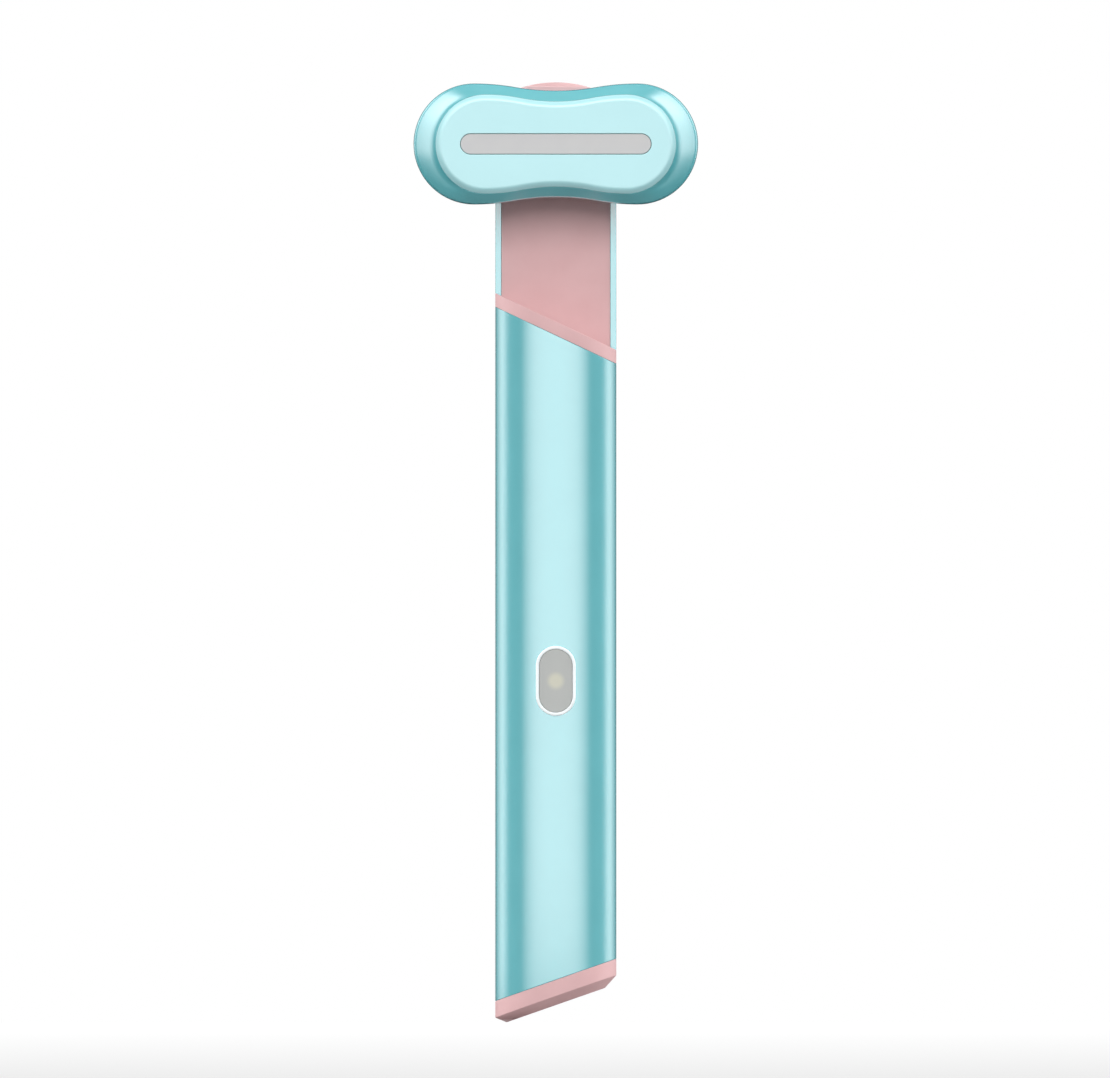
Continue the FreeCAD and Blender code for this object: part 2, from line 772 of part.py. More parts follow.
def battery_connector():
    return connector(-1)


def harness_connector():
    return connector(1)


def charge_socket():
    z0 = height(socket_mouth_height) + seat_gap
    shell = up_prism(capsule(socket_width, socket_thickness), z0, z0 + socket_length)
    inner = capsule(socket_width - 2 * socket_wall, socket_thickness - 2 * socket_wall)
    return shell.cut(up_prism(inner, z0 - reach, z0 + socket_length - 2 * socket_wall))


def socket_tongue():
    z1 = height(socket_mouth_height) + seat_gap + socket_length - 2 * socket_wall
    half = tongue_width / 2
    blade = box(-half, half, -tongue_thickness / 2, tongue_thickness / 2, z1 - socket_wall - tongue_length, z1)
    inner = capsule(socket_width - 2 * socket_wall - 2 * press, socket_thickness - 2 * socket_wall - 2 * press)
    return fused(blade, up_prism(inner, z1 - 2 * socket_wall, z1))


def battery_cell():
    low = height(battery_bottom_height)
    top = height(battery_top_height)
    cell = rod_up(battery_r, low, top)
    rims = [edge for edge in cell.Edges if edge.isClosed()]
    cell = cell.makeFillet(battery_nub, rims)
    return fused(cell, rod_up(battery_nub_r, top - battery_nub, top + battery_nub))


def battery_foam():
    middle = (height(battery_bottom_height) + height(battery_top_height)) / 2
    pad = rod_up(inside_r, middle - foam_length / 2, middle + foam_length / 2)
    pad = pad.cut(rod_up(battery_r + fit, middle - foam_length, middle + foam_length))
    return pad.common(box(-foam_width / 2, foam_width / 2, -reach, 0.0, middle - foam_length, middle + foam_length))


def chassis():
    low = height(end_spigot_top_height) + battery_play
    top = height(neck_joint_height) - top_lip - fit
    inner = rod_up(tray_inner_r, low, top)
    tray = rod_up(inside_r, low, top).cut(inner)
    solids = []
    battery_low = height(battery_bottom_height) - battery_play
    battery_top = height(battery_top_height) + battery_play + battery_nub
    for z0 in (battery_low - tray_bulkhead, battery_top):
        solids.append(rod_up(inside_r, z0, z0 + tray_bulkhead))
    pitch = (battery_top - battery_low) / (rib_count + 1)
    for number in range(rib_count):
        z0 = battery_low + pitch * (number + 1) - rib_thickness / 2
        rib = rod_up(inside_r, z0, z0 + rib_thickness)
        solids.append(rib.cut(rod_up(battery_r + fit, z0, z0 + rib_thickness)))
    for x, z in board_screw_places():
        solids.append(rod_front(post_r, inside_r, board_back, x, z).common(rod_up(inside_r, low, top)))
    for x, z in neck_screw_places():
        solids.append(rod_front(post_r, inside_r, tray_front, x, z).common(rod_up(inside_r, low, top)))
    tray = fused(tray, *solids).common(box(-reach, reach, tray_front, reach, low, top))
    board_room = box(-reach, reach, tray_front, board_back, low, height(board_top_height) + seat_gap)
    board_room = board_room.common(inner)
    harness_notch = box(-2 * harness_r, 2 * harness_r, tray_front, reach, battery_top, battery_top + tray_bulkhead)
    harness_notch = harness_notch.common(inner)
    cuts = [board_room, harness_notch]
    for x, z in board_screw_places():
        cuts.append(rod_front(screw_r, board_back + screw_grip + fit, 0.0, x, z))
    for x, z in neck_screw_places():
        cuts.append(rod_front(screw_r, inlay_back + screw_grip + fit, 0.0, x, z))
    return tray.cut(cuts)


# Wires

def beside_battery(side, z):
    angle = math.radians(lead_side_angle_deg)
    return Vector(side * lead_side_r * math.cos(angle), -lead_side_r * math.sin(angle), z)


def battery_lead_positive():
    top = height(battery_top_height) + battery_nub
    over = top + 2 * lead_bend
    under = height(battery_bottom_height) - battery_air / 2
    plug = height(board_top_height) - seat_gap
    y = board_front - connector_thickness / 2
    x = -connector_x - connector_width / 4
    return lead([
        Vector(0, 0, top),
        Vector(0, 0, over),
        beside_battery(-1, over),
        beside_battery(-1, under),
        Vector(x, y, under),
        Vector(x, y, plug),
    ], lead_r, lead_bend)


def battery_lead_negative():
    y = board_front - connector_thickness / 2
    x = -connector_x + connector_width / 4
    return rod_up(lead_r, height(board_top_height) - seat_gap, height(battery_bottom_height), x, y)


def handle_harness():
    plug = height(board_top_height) - seat_gap
    under = height(battery_bottom_height) - battery_air / 2
    over = height(battery_top_height) + battery_nub
    y = board_front - connector_thickness / 2
    behind_y = tray_inner_r - harness_r - harness_air
    return lead([
        Vector(connector_x, y, plug),
        Vector(connector_x, y, under),
        beside_battery(1, under),
        beside_battery(1, over),
        Vector(0.5 * tube_r, inlay_back / 2, over + 2 * harness_bend),
        Vector(0, behind_y - harness_air, over + 4 * harness_bend),
        Vector(0, behind_y, (over + swivel_z) / 2),
        Vector(0, behind_y, swivel_z),
        Vector(0, inlay_back, swivel_z),
    ], harness_r, harness_bend)


def head_harness():
    turn_y = head_y(led_board_depth - 2 * harness_bend)
    x = (board_post_places()[0][0] + board_post_places()[-1][0]) / 2
    return lead([
        Vector(0, inlay_back - thrust_play, swivel_z),
        Vector(0, turn_y, swivel_z),
        Vector(x, turn_y, swivel_z),
        Vector(x, head_y(led_board_depth - fit), swivel_z),
    ], harness_r, harness_bend)


def motor_leads():
    y = head_y(led_board_depth - 2 * harness_bend)
    offset = motor_lead_r + motor_lead_gap / 2
    return Part.makeCompound([
        rod_side(motor_lead_r, -motor_inner_x, -harness_r - fit, y, swivel_z + side * offset)
        for side in (-1, 1)])


subparts = [
    body_tube, end_cap, collar, top_cap, neck_plate, neck_screws, swivel_bush, wave_washer, stop_pin,
    swivel_shaft, shaft_screws, retaining_clip, head_back, head_bezel, bezel_screws, face_plate,
    led_window, heating_film, thermistor, led_board, head_leds, vibration_motor, eccentric_weight,
    motor_foam, button_ring, power_button, switch_plunger, tact_switch, main_board, board_screws,
    board_chips, indicator_led, battery_connector, harness_connector, charge_socket, socket_tongue,
    battery_cell, battery_foam, chassis, battery_lead_positive, battery_lead_negative,
    handle_harness, head_harness, motor_leads,
]

os.makedirs("parts", exist_ok=True)
for make in subparts:
    make().exportStep("parts/" + make.__name__ + ".step")
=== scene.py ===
import json
from math import asin, atan, cos, pi, radians, sin, sqrt

import bmesh
import bpy
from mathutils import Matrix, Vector


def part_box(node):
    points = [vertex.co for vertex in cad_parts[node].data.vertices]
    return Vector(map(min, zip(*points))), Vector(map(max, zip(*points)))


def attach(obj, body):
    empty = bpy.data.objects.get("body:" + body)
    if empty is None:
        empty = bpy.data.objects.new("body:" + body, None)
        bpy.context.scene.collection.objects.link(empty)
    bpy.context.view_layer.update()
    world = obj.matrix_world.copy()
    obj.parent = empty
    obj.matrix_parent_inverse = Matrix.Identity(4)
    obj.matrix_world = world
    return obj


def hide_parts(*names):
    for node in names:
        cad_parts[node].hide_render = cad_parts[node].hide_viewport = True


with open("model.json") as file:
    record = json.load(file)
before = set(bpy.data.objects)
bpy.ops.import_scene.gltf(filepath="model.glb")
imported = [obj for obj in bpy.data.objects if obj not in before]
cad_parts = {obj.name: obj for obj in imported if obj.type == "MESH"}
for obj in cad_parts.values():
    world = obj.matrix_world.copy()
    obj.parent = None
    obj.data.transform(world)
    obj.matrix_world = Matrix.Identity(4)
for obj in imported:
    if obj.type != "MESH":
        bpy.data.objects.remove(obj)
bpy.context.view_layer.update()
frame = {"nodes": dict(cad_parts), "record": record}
slotOf = {part["node"]: part["material_slot"] for part in frame["record"]["subparts"]}
print("frame loaded:", len(frame["nodes"]), "nodes")

# All sizes below are in millimetres. The origin is the middle of the grip, +Z runs up the wand
# and the treatment face looks along -Y.
mm = 0.001

wand = {
    "tubeR": 10.5, "tubeWall": 1.05, "tubeEdge": 0.1,
    "endJointZ": -24.65, "endFaceZ": -29.02, "endSlope": 0.35,
    "collarZ": 87.2, "collarSlope": -0.471,
    "neckJointZ": 126.1, "neckTopZ": 131.1,
    "buttonZ": 27.25, "swivelZ": 120.4,
}
# points on the long side and on the round end of a quarter outline, and round the whole tube
ringSteps = {"along": 40, "round": 28, "tube": 256}
mergeWithin = 0.0005


def linear(r, g, b):
    # written as screen colours, 0 to 255
    def one(value):
        share = value / 255
        return share / 12.92 if share <= 0.04045 else ((share + 0.055) / 1.055) ** 2.4
    return (one(r), one(g), one(b), 1.0)


def aroundFour(quarter):
    last = len(quarter) - 1
    loop = list(quarter[:last])
    loop += [(x, -z) for x, z in reversed(quarter[1:])]
    loop += [(-x, -z) for x, z in quarter[:last]]
    loop += [(-x, z) for x, z in reversed(quarter[1:])]
    return loop


def quarterTurn(steps):
    return [pi / 2 * i / steps for i in range(steps + 1)]


def roundEnd(centreX, radius, steps=ringSteps["round"]):
    return [(centreX + radius * sin(turn), radius * cos(turn)) for turn in quarterTurn(steps)]


def waisted(lobeX, lobeR, waist, inset=0.0):
    # two round lobes, joined by a sweep that is hollow at the waist and full beside the lobes
    rise = lobeR - waist
    sweepR = (lobeX ** 2 + rise ** 2) / (4 * rise)
    turn = asin(lobeX / 2 / sweepR)
    steps = ringSteps["along"]
    quarter = []
    for i in range(steps):
        share = 2 * i / steps
        if share < 1:
            reach = sweepR + inset
            quarter.append((reach * sin(turn * share), waist + sweepR - reach * cos(turn * share)))
        else:
            reach = sweepR - inset
            angle = turn * (2 - share)
            quarter.append((lobeX - reach * sin(angle), lobeR - sweepR + reach * cos(angle)))
    return aroundFour(quarter + roundEnd(lobeX, lobeR - inset))


def capsule(halfLength, halfWidth):
    centreX = halfLength - halfWidth
    steps = ringSteps["along"]
    side = [(centreX * i / steps, halfWidth) for i in range(steps)]
    return aroundFour(side + roundEnd(centreX, halfWidth))


def circle(radius):
    return aroundFour(roundEnd(0.0, radius, ringSteps["along"] + ringSteps["round"]))


def roundOver(radius, steps):
    # rows of a rounded edge from the wall to the face: how far in, how far below the face
    return [(radius * (1 - cos(turn)), radius * (1 - sin(turn))) for turn in quarterTurn(steps)]


def onSlant(z, slope):
    return lambda x: z + slope * x


def upLoop(outline, z):
    # z is a height, or a function that gives the height at x
    return [(x, y, z(x) if callable(z) else z) for x, y in outline]


endFaceZ = onSlant(wand["endFaceZ"], wand["endSlope"])
endJointZ = onSlant(wand["endJointZ"], wand["endSlope"])
collarZ = onSlant(wand["collarZ"], wand["collarSlope"])


def linkObject(name, data):
    thing = bpy.data.objects.new(name, data)
    bpy.context.scene.collection.objects.link(thing)
    return thing


def meshObject(name, bm):
    mesh = bpy.data.meshes.new(name)
    bm.to_mesh(mesh)
    bm.free()
    return linkObject(name, mesh)


def closedMesh(name, bm):
    bmesh.ops.remove_doubles(bm, verts=bm.verts, dist=mergeWithin * mm)
    bmesh.ops.recalc_face_normals(bm, faces=bm.faces)
    return meshObject(name, bm)


def skin(bm, loops, closed=False):
    # quads between closed loops that all have the same number of points
    rows = [[bm.verts.new(Vector(point) * mm) for point in loop] for loop in loops]
    count = len(rows[0])
    pairs = list(zip(rows, rows[1:]))
    if closed:
        pairs.append((rows[-1], rows[0]))
    for lower, upper in pairs:
        for i in range(count):
            j = (i + 1) % count
            bm.faces.new((lower[i], lower[j], upper[j], upper[i]))
    return rows


def loopMesh(name, loops, closed=False):
    bm = bmesh.new()
    rows = skin(bm, loops, closed)
    if not closed:
        bm.faces.new(rows[0])
        bm.faces.new(list(reversed(rows[-1])))
    return closedMesh(name, bm)


def prism(name, outline, low, high, axis):
    # outline is a closed list of point pairs; axis is the letter that low and high run along
    place = {"y": lambda a, b, c: (a, c, b), "z": lambda a, b, c: (a, b, c)}[axis]
    return loopMesh(name, [[place(a, b, end) for a, b in outline] for end in (low, high)])


def bakeModifiers(piece):
    bpy.context.view_layer.update()
    graph = bpy.context.evaluated_depsgraph_get()
    mesh = bpy.data.meshes.new_from_object(
        piece.evaluated_get(graph), preserve_all_data_layers=True, depsgraph=graph)
    piece.modifiers.clear()
    old = piece.data
    piece.data = mesh
    bpy.data.meshes.remove(old)


def cutAway(piece, *cutters):
    for cutter in cutters:
        cut = piece.modifiers.new("cut", "BOOLEAN")
        cut.operation = "DIFFERENCE"
        cut.solver = "EXACT"
        cut.object = cutter
    bakeModifiers(piece)
    for cutter in cutters:
        bpy.data.objects.remove(cutter)


def softenEdges(piece, width, angle=35):
    piece.data.shade_smooth()
    bevel = piece.modifiers.new("edges", "BEVEL")
    bevel.width = width * mm
    bevel.segments = 2
    bevel.limit_method = "ANGLE"
    bevel.angle_limit = radians(angle)
    bevel.use_clamp_overlap = False
    normals = piece.modifiers.new("normals", "WEIGHTED_NORMAL")
    normals.keep_sharp = True
    bakeModifiers(piece)


roundMatch = {"within": 0.03, "facing": 0.98}


def roundWall(piece, radius):
    # the tube's facets shade as one round wall, also beside the cuts
    mesh = piece.data
    normals = [corner.vector.copy() for corner in mesh.corner_normals]
    for i, corner in enumerate(mesh.loops):
        x, y, z = mesh.vertices[corner.vertex_index].co
        reach = sqrt(x * x + y * y)
        outward = Vector((x / reach, y / reach, 0.0))
        onWall = abs(reach - radius * mm) < roundMatch["within"] * mm
        if onWall and outward.dot(normals[i]) > roundMatch["facing"]:
            normals[i] = outward
    mesh.normals_split_custom_set(normals)


def dress(piece, material, body, *nodes):
    piece.data.materials.clear()
    piece.data.materials.append(material)
    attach(piece, body)
    if nodes:
        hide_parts(*nodes)


def put(tree, kind, links=None, **values):
    # links gives each named socket a fixed value or the output that feeds it
    node = tree.nodes.new(kind)
    for name, value in values.items():
        setattr(node, name, value)
    for socket, source in (links or {}).items():
        if hasattr(source, "is_linked"):
            tree.links.new(source, node.inputs[socket])
        else:
            node.inputs[socket].default_value = source
    return node


def mathNode(tree, operation, first, second=0.0):
    return put(tree, "ShaderNodeMath", {0: first, 1: second}, operation=operation).outputs[0]


def vectorNode(tree, x=0.0, y=0.0, z=0.0):
    return put(tree, "ShaderNodeCombineXYZ", {0: x, 1: y, 2: z}).outputs[0]


def pointNode(tree, space="Object"):
    return put(tree, "ShaderNodeTexCoord").outputs[space]


def noise(tree, size, detail=2.0):
    # size is the width of one blotch
    links = {"Vector": pointNode(tree), "Scale": 1 / (size * mm), "Detail": detail}
    return put(tree, "ShaderNodeTexNoise", links).outputs["Fac"]


def spread(tree, value, low, high, fromLow=0.0, fromHigh=1.0, curve="LINEAR"):
    links = {"Value": value, "From Min": fromLow, "From Max": fromHigh, "To Min": low, "To Max": high}
    return put(tree, "ShaderNodeMapRange", links, interpolation_type=curve).outputs["Result"]


def mixColor(tree, share, first, second):
    return put(tree, "ShaderNodeMix", {0: share, 6: first, 7: second}, data_type="RGBA").outputs[2]


def newMaterial(name, color, roughness, metallic=0.0):
    material = bpy.data.materials.new(name)
    material.use_nodes = True
    shader = material.node_tree.nodes["Principled BSDF"]
    shader.inputs["Base Color"].default_value = color
    shader.inputs["Roughness"].default_value = roughness
    shader.inputs["Metallic"].default_value = metallic
    return material, material.node_tree, shader


speckle = {
    "driftDetail": 3.0, "driftFrom": 0.35, "driftTo": 0.65, "grainFrom": 0.3, "grainTo": 0.7, "bump": 0.5,
    "bareSwing": 0.04, "coatedSwing": 0.01, "coatRoughness": 0.18,
}


def addGrain(tree, shader, width, depth, roughness, swing):
    # one fine grain varies the roughness and stands up as a bump
    fine = noise(tree, width)
    shine = spread(tree, fine, roughness - swing, roughness + swing, speckle["grainFrom"], speckle["grainTo"])
    tree.links.new(shine, shader.inputs["Roughness"])
    links = {"Height": fine, "Distance": depth * mm, "Strength": speckle["bump"]}
    relief = put(tree, "ShaderNodeBump", links)
    tree.links.new(relief.outputs["Normal"], shader.inputs["Normal"])


def speckled(name, color, deeper, roughness, metallic, blotch, grain, depth, coatIor=None):
    # a slow drift between two close colours, a fine grain and, where an IOR is given, a clear coat
    material, tree, shader = newMaterial(name, linear(*color), roughness, metallic)
    drift = noise(tree, blotch, speckle["driftDetail"])
    share = spread(tree, drift, 0.0, 1.0, speckle["driftFrom"], speckle["driftTo"])
    tree.links.new(mixColor(tree, share, linear(*color), linear(*deeper)), shader.inputs["Base Color"])
    swing = speckle["coatedSwing"] if coatIor else speckle["bareSwing"]
    addGrain(tree, shader, grain, depth, roughness, swing)
    if coatIor:
        shader.inputs["IOR"].default_value = coatIor
        shader.inputs["Coat Weight"].default_value = 1.0
        shader.inputs["Coat IOR"].default_value = coatIor
        shader.inputs["Coat Roughness"].default_value = speckle["coatRoughness"]
    return material


# the pale colour is the painted glow of the light guide behind the cap
buttonLight = {
    "grey": (180, 182, 180), "pale": (203, 202, 187), "coreR": 0.7, "fadeR": 1.9,
    "roughness": 0.42, "grain": 0.12, "grainDepth": 0.001,
}


def litButton():
    # grey frosted cap with a painted glow: a soft pale spot mixed into its colour where the light guide ends
    # behind it
    grey = linear(*buttonLight["grey"])
    material, tree, shader = newMaterial("buttonGrey", grey, buttonLight["roughness"])
    flat = put(tree, "ShaderNodeVectorMath", {0: pointNode(tree), 1: (1, 0, 1)}, operation="MULTIPLY")
    middle = (0, 0, wand["buttonZ"] * mm)
    apart = put(tree, "ShaderNodeVectorMath", {0: flat.outputs[0], 1: middle}, operation="DISTANCE")
    paintedGlow = spread(tree, apart.outputs["Value"], 1.0, 0.0,
                  buttonLight["coreR"] * mm, buttonLight["fadeR"] * mm, "SMOOTHSTEP")
    pale = linear(*buttonLight["pale"])
    tree.links.new(mixColor(tree, paintedGlow, grey, pale), shader.inputs["Base Color"])
    addGrain(tree, shader, buttonLight["grain"], buttonLight["grainDepth"], buttonLight["roughness"],
             speckle["bareSwing"])
    return material


# name, colour, the colour that it drifts to, roughness, metallic, widths of the drift and of the grain,
# depth of the grain, and on the two coated ones the IOR of the paint and of its coat
finishes = {
    "teal_paint": ("tealPaint", (104, 200, 209), (101, 197, 206), 0.26, 0.0, 9.0, 0.3, 0.0002, 2.6),
    "pink_plastic": ("pinkPlastic", (218, 178, 179), (215, 174, 175), 0.5, 0.0, 6.0, 0.12, 0.003),
    "plate_cyan": ("paleEnamel", (174, 226, 231), (172, 224, 229), 0.26, 0.0, 8.0, 0.3, 0.0002, 1.8),
    "window_grey": ("frostedWindow", (201, 201, 201), (199, 199, 200), 0.55, 0.0, 4.0, 0.1, 0.002),
    "ring_white": ("glossWhite", (246, 251, 252), (243, 249, 251), 0.3, 0.0, 5.0, 0.3, 0.001),
    "tray_white": ("TrayWhite", (226, 225, 220), (218, 217, 212), 0.5, 0.0, 5.0, 0.2, 0.002),
    "board_green": ("BoardGreen", (28, 92, 58), (20, 78, 48), 0.38, 0.0, 1.5, 0.4, 0.01),
    "black_plastic": ("BlackPlastic", (34, 34, 36), (27, 27, 29), 0.5, 0.0, 2.0, 0.1, 0.003),
    "cream_plastic": ("CreamPlastic", (228, 219, 194), (219, 209, 182), 0.45, 0.0, 3.0, 0.15, 0.002),
    "steel": ("Steel", (190, 192, 194), (178, 180, 183), 0.3, 1.0, 2.0, 0.12, 0.002),
    "nickel": ("Nickel", (205, 204, 200), (196, 195, 191), 0.18, 1.0, 2.0, 0.15, 0.001),
    "brass": ("Brass", (206, 172, 102), (192, 158, 90), 0.28, 1.0, 2.0, 0.12, 0.002),
    "battery_wrap": ("BatteryWrap", (62, 112, 176), (56, 104, 166), 0.32, 0.2, 8.0, 0.5, 0.004),
    "foam": ("Foam", (66, 66, 68), (50, 50, 52), 0.9, 0.0, 1.0, 0.25, 0.05),
    "film_amber": ("FilmAmber", (206, 138, 52), (196, 128, 44), 0.3, 0.0, 3.0, 0.3, 0.002),
    "led_yellow": ("LedYellow", (238, 222, 150), (232, 212, 132), 0.35, 0.0, 0.6, 0.1, 0.002),
    "wire_red": ("WireRed", (196, 44, 38), (184, 36, 32), 0.45, 0.0, 2.0, 0.15, 0.002),
    "wire_black": ("WireBlack", (36, 36, 37), (28, 28, 29), 0.45, 0.0, 2.0, 0.15, 0.002),
    "wire_grey": ("WireGrey", (150, 152, 154), (140, 142, 145), 0.45, 0.0, 2.0, 0.15, 0.002),
}
finish = {slotName: speckled(*values) for slotName, values in finishes.items()}
finish["button_grey"] = litButton()
print("finishes made:", len(finish))


def tubeOutline(radius):
    # half a step off the axis, so that no point lies on the cut at y = 0
    turns = [2 * pi * (i + 0.5) / ringSteps["tube"] for i in range(ringSteps["tube"])]
    return [(radius * sin(turn), -radius * cos(turn)) for turn in turns]


def makeBodyTube():
    innerR = wand["tubeR"] - wand["tubeWall"]
    outer = tubeOutline(wand["tubeR"])
    inner = tubeOutline(innerR)
    # rings just above and below the button keep the facets beside its hole short
    reach = buttonRing["halfLength"] + buttonRing["clearRow"]
    piece = loopMesh("bodyTube", [
        upLoop(outer, endJointZ),
        upLoop(outer, wand["buttonZ"] - reach),
        upLoop(outer, wand["buttonZ"] + reach),
        upLoop(outer, wand["neckJointZ"]),
        upLoop(inner, wand["neckJointZ"]),
        upLoop(inner, endJointZ),
    ], closed=True)
    far = 3 * wand["tubeR"]
    above = wand["neckTopZ"] + far
    mouth = [(-far, collarZ(-far)), (far, collarZ(far)), (far, above), (-far, above)]
    lap = buttonRing["lap"]   # the ring's rim lies this far over the edge of its hole
    opening = capsule(buttonRing["halfLength"] - lap, buttonRing["halfWidth"] - lap)
    hole = [(z, x + wand["buttonZ"]) for x, z in opening]
    cutAway(piece, prism("buttonHole", hole, -far, -innerR / 2, "y"),
            prism("neckMouth", mouth, -far, 0.0, "y"))
    softenEdges(piece, wand["tubeEdge"])
    roundWall(piece, wand["tubeR"])
    dress(piece, finish["teal_paint"], "handle", "body_tube")


endCap = {
    "chamferWide": 2.1, "chamferHigh": 1.5, "edge": 0.12, "edgeAngle": 20,
    "pocketHalfLength": 6.4, "pocketHalfWidth": 3.5, "pocketTopZ": -25.8, "slotHalfLength": 4.52,
    "slotHalfWidth": 1.68, "spigotR": 9.4, "spigotWall": 1.3, "spigotTopZ": -15.0, "floorTopZ": -24.5,
}


def makeEndCap():
    outer = wand["tubeR"]
    squash = cos(atan(wand["endSlope"]))   # the rim is an ellipse in the slanted plane
    rim = circle(outer)
    wallFoot = []
    faceRim = []
    for x, y in rim:
        rise = endCap["chamferHigh"] * sqrt(1 + (wand["endSlope"] * y / outer) ** 2)
        wallFoot.append((x, y, endFaceZ(x) + rise))
        along = x / squash
        size = sqrt((along * squash ** 2) ** 2 + y ** 2)
        inX = (along - endCap["chamferWide"] * along * squash ** 2 / size) * squash
        faceRim.append((inX, y - endCap["chamferWide"] * y / size, endFaceZ(inX)))
    pocket = capsule(endCap["pocketHalfLength"], endCap["pocketHalfWidth"])
    slot = capsule(endCap["slotHalfLength"], endCap["slotHalfWidth"])
    spigot = circle(endCap["spigotR"])
    inside = circle(endCap["spigotR"] - endCap["spigotWall"])
    piece = loopMesh("endCap", [
        upLoop(slot, endCap["floorTopZ"]),
        upLoop(slot, endCap["pocketTopZ"]),
        upLoop(pocket, endCap["pocketTopZ"]),
        upLoop(pocket, endFaceZ),
        faceRim,
        wallFoot,
        upLoop(rim, endJointZ),
        upLoop(spigot, endJointZ),
        upLoop(spigot, endCap["spigotTopZ"]),
        upLoop(inside, endCap["spigotTopZ"]),
        upLoop(inside, lambda x: max(endJointZ(x), endCap["floorTopZ"])),
    ], closed=True)
    softenEdges(piece, endCap["edge"], endCap["edgeAngle"])
    dress(piece, finish["pink_plastic"], "handle", "end_cap")


collar = {"band": 2.4, "sideGap": 0.05, "reachBack": 0.35, "edge": 0.12}


def makeCollar():
    outer = wand["tubeR"]
    inner = outer - wand["tubeWall"] - collar["sideGap"]
    back = collar["reachBack"]
    steps = ringSteps["tube"] // 2
    turns = [pi * i / steps for i in range(steps + 1)]
    outline = [(-outer * cos(turn), -outer * sin(turn)) for turn in turns]
    outline += [(inner, 0.0), (inner, back), (-inner, back), (-inner, 0.0)]
    bandTopZ = onSlant(wand["collarZ"] + collar["band"], wand["collarSlope"])
    piece = loopMesh("collar", [upLoop(outline, collarZ), upLoop(outline, bandTopZ)])
    softenEdges(piece, collar["edge"])
    dress(piece, finish["pink_plastic"], "handle", "collar")


topCap = {"crownR": 20.0, "rings": 24, "edge": 0.12}


def makeTopCap():
    outer = wand["tubeR"]
    crownR = topCap["crownR"]
    loops = [upLoop(circle(outer), wand["neckJointZ"])]
    for i in range(topCap["rings"]):
        angle = asin(outer / crownR) * (1 - i / topCap["rings"])
        loops.append(upLoop(circle(crownR * sin(angle)), wand["neckTopZ"] - crownR + crownR * cos(angle)))
    piece = loopMesh("topCap", loops)
    far = 2 * outer
    front = [(-far, -far), (far, -far), (far, 0.0), (-far, 0.0)]
    cutAway(piece, prism("openFront", front, 0.0, 2 * wand["neckTopZ"], "z"))
    softenEdges(piece, topCap["edge"])
    dress(piece, finish["pink_plastic"], "handle", "top_cap")


inlay = {
    "frontY": 0.4, "backY": 2.0, "sideOverlap": 0.02, "bushR": 4.46, "cutFromY": -1.0, "cutToY": 5.0,
    "edge": 0.1,
}


def makeNeckPlate():
    inner = wand["tubeR"] - wand["tubeWall"]
    top = wand["neckJointZ"]
    loops = []
    for y in (inlay["frontY"], inlay["backY"]):
        half = sqrt(inner ** 2 - y ** 2) + inlay["sideOverlap"]
        loops.append([(-half, y, collarZ(-half)), (half, y, collarZ(half)), (half, y, top), (-half, y, top)])
    piece = loopMesh("neckPlate", loops)
    hole = [(x, z + wand["swivelZ"]) for x, z in circle(inlay["bushR"])]
    cutAway(piece, prism("bushHole", hole, inlay["cutFromY"], inlay["cutToY"], "y"))
    softenEdges(piece, inlay["edge"])
    dress(piece, finish["pink_plastic"], "handle", "neck_plate")


buttonRing = {
    "halfWidth": 3.45, "halfLength": 6.05, "rim": 0.55, "proud": 0.3, "roundOver": 0.2, "roundSteps": 6,
    "depth": 2.0, "lap": 0.45, "clearRow": 0.4, "edge": 0.03,
}
button = {"gap": 0.03, "proud": 0.18, "roundOver": 0.12, "roundSteps": 6, "crownRings": 14, "edge": 0.03}


def buttonLoop(inset, radius):
    # the ring's outline, set in and laid on the front of a cylinder of this radius
    outline = capsule(buttonRing["halfLength"] - inset, buttonRing["halfWidth"] - inset)
    return [(across, -sqrt(radius ** 2 - across ** 2), up + wand["buttonZ"]) for up, across in outline]


def makeButtonRing():
    top = wand["tubeR"] + buttonRing["proud"]
    foot = wand["tubeR"] - buttonRing["depth"]
    rim = buttonRing["rim"]
    rows = roundOver(buttonRing["roundOver"], buttonRing["roundSteps"])
    loops = [buttonLoop(0.0, foot)]
    loops += [buttonLoop(inset, top - drop) for inset, drop in rows]
    loops += [buttonLoop(rim - inset, top - drop) for inset, drop in reversed(rows)]
    loops.append(buttonLoop(rim, foot))
    piece = loopMesh("buttonRing", loops, closed=True)
    softenEdges(piece, buttonRing["edge"])
    dress(piece, finish["ring_white"], "handle", "button_ring")


def makePowerButton():
    shrink = buttonRing["rim"] + button["gap"]
    width = buttonRing["halfWidth"] - shrink
    top = wand["tubeR"] + button["proud"]
    turnR = button["roundOver"]
    rings = button["crownRings"]
    loops = [buttonLoop(shrink, wand["tubeR"] - buttonRing["depth"])]
    rows = roundOver(turnR, button["roundSteps"])
    loops += [buttonLoop(shrink + inset, top - drop) for inset, drop in rows]
    loops += [buttonLoop(shrink + turnR + (width - turnR) * i / rings, top) for i in range(1, rings)]
    piece = loopMesh("powerButton", loops)
    softenEdges(piece, button["edge"])
    dress(piece, finish["button_grey"], "button", "power_button")


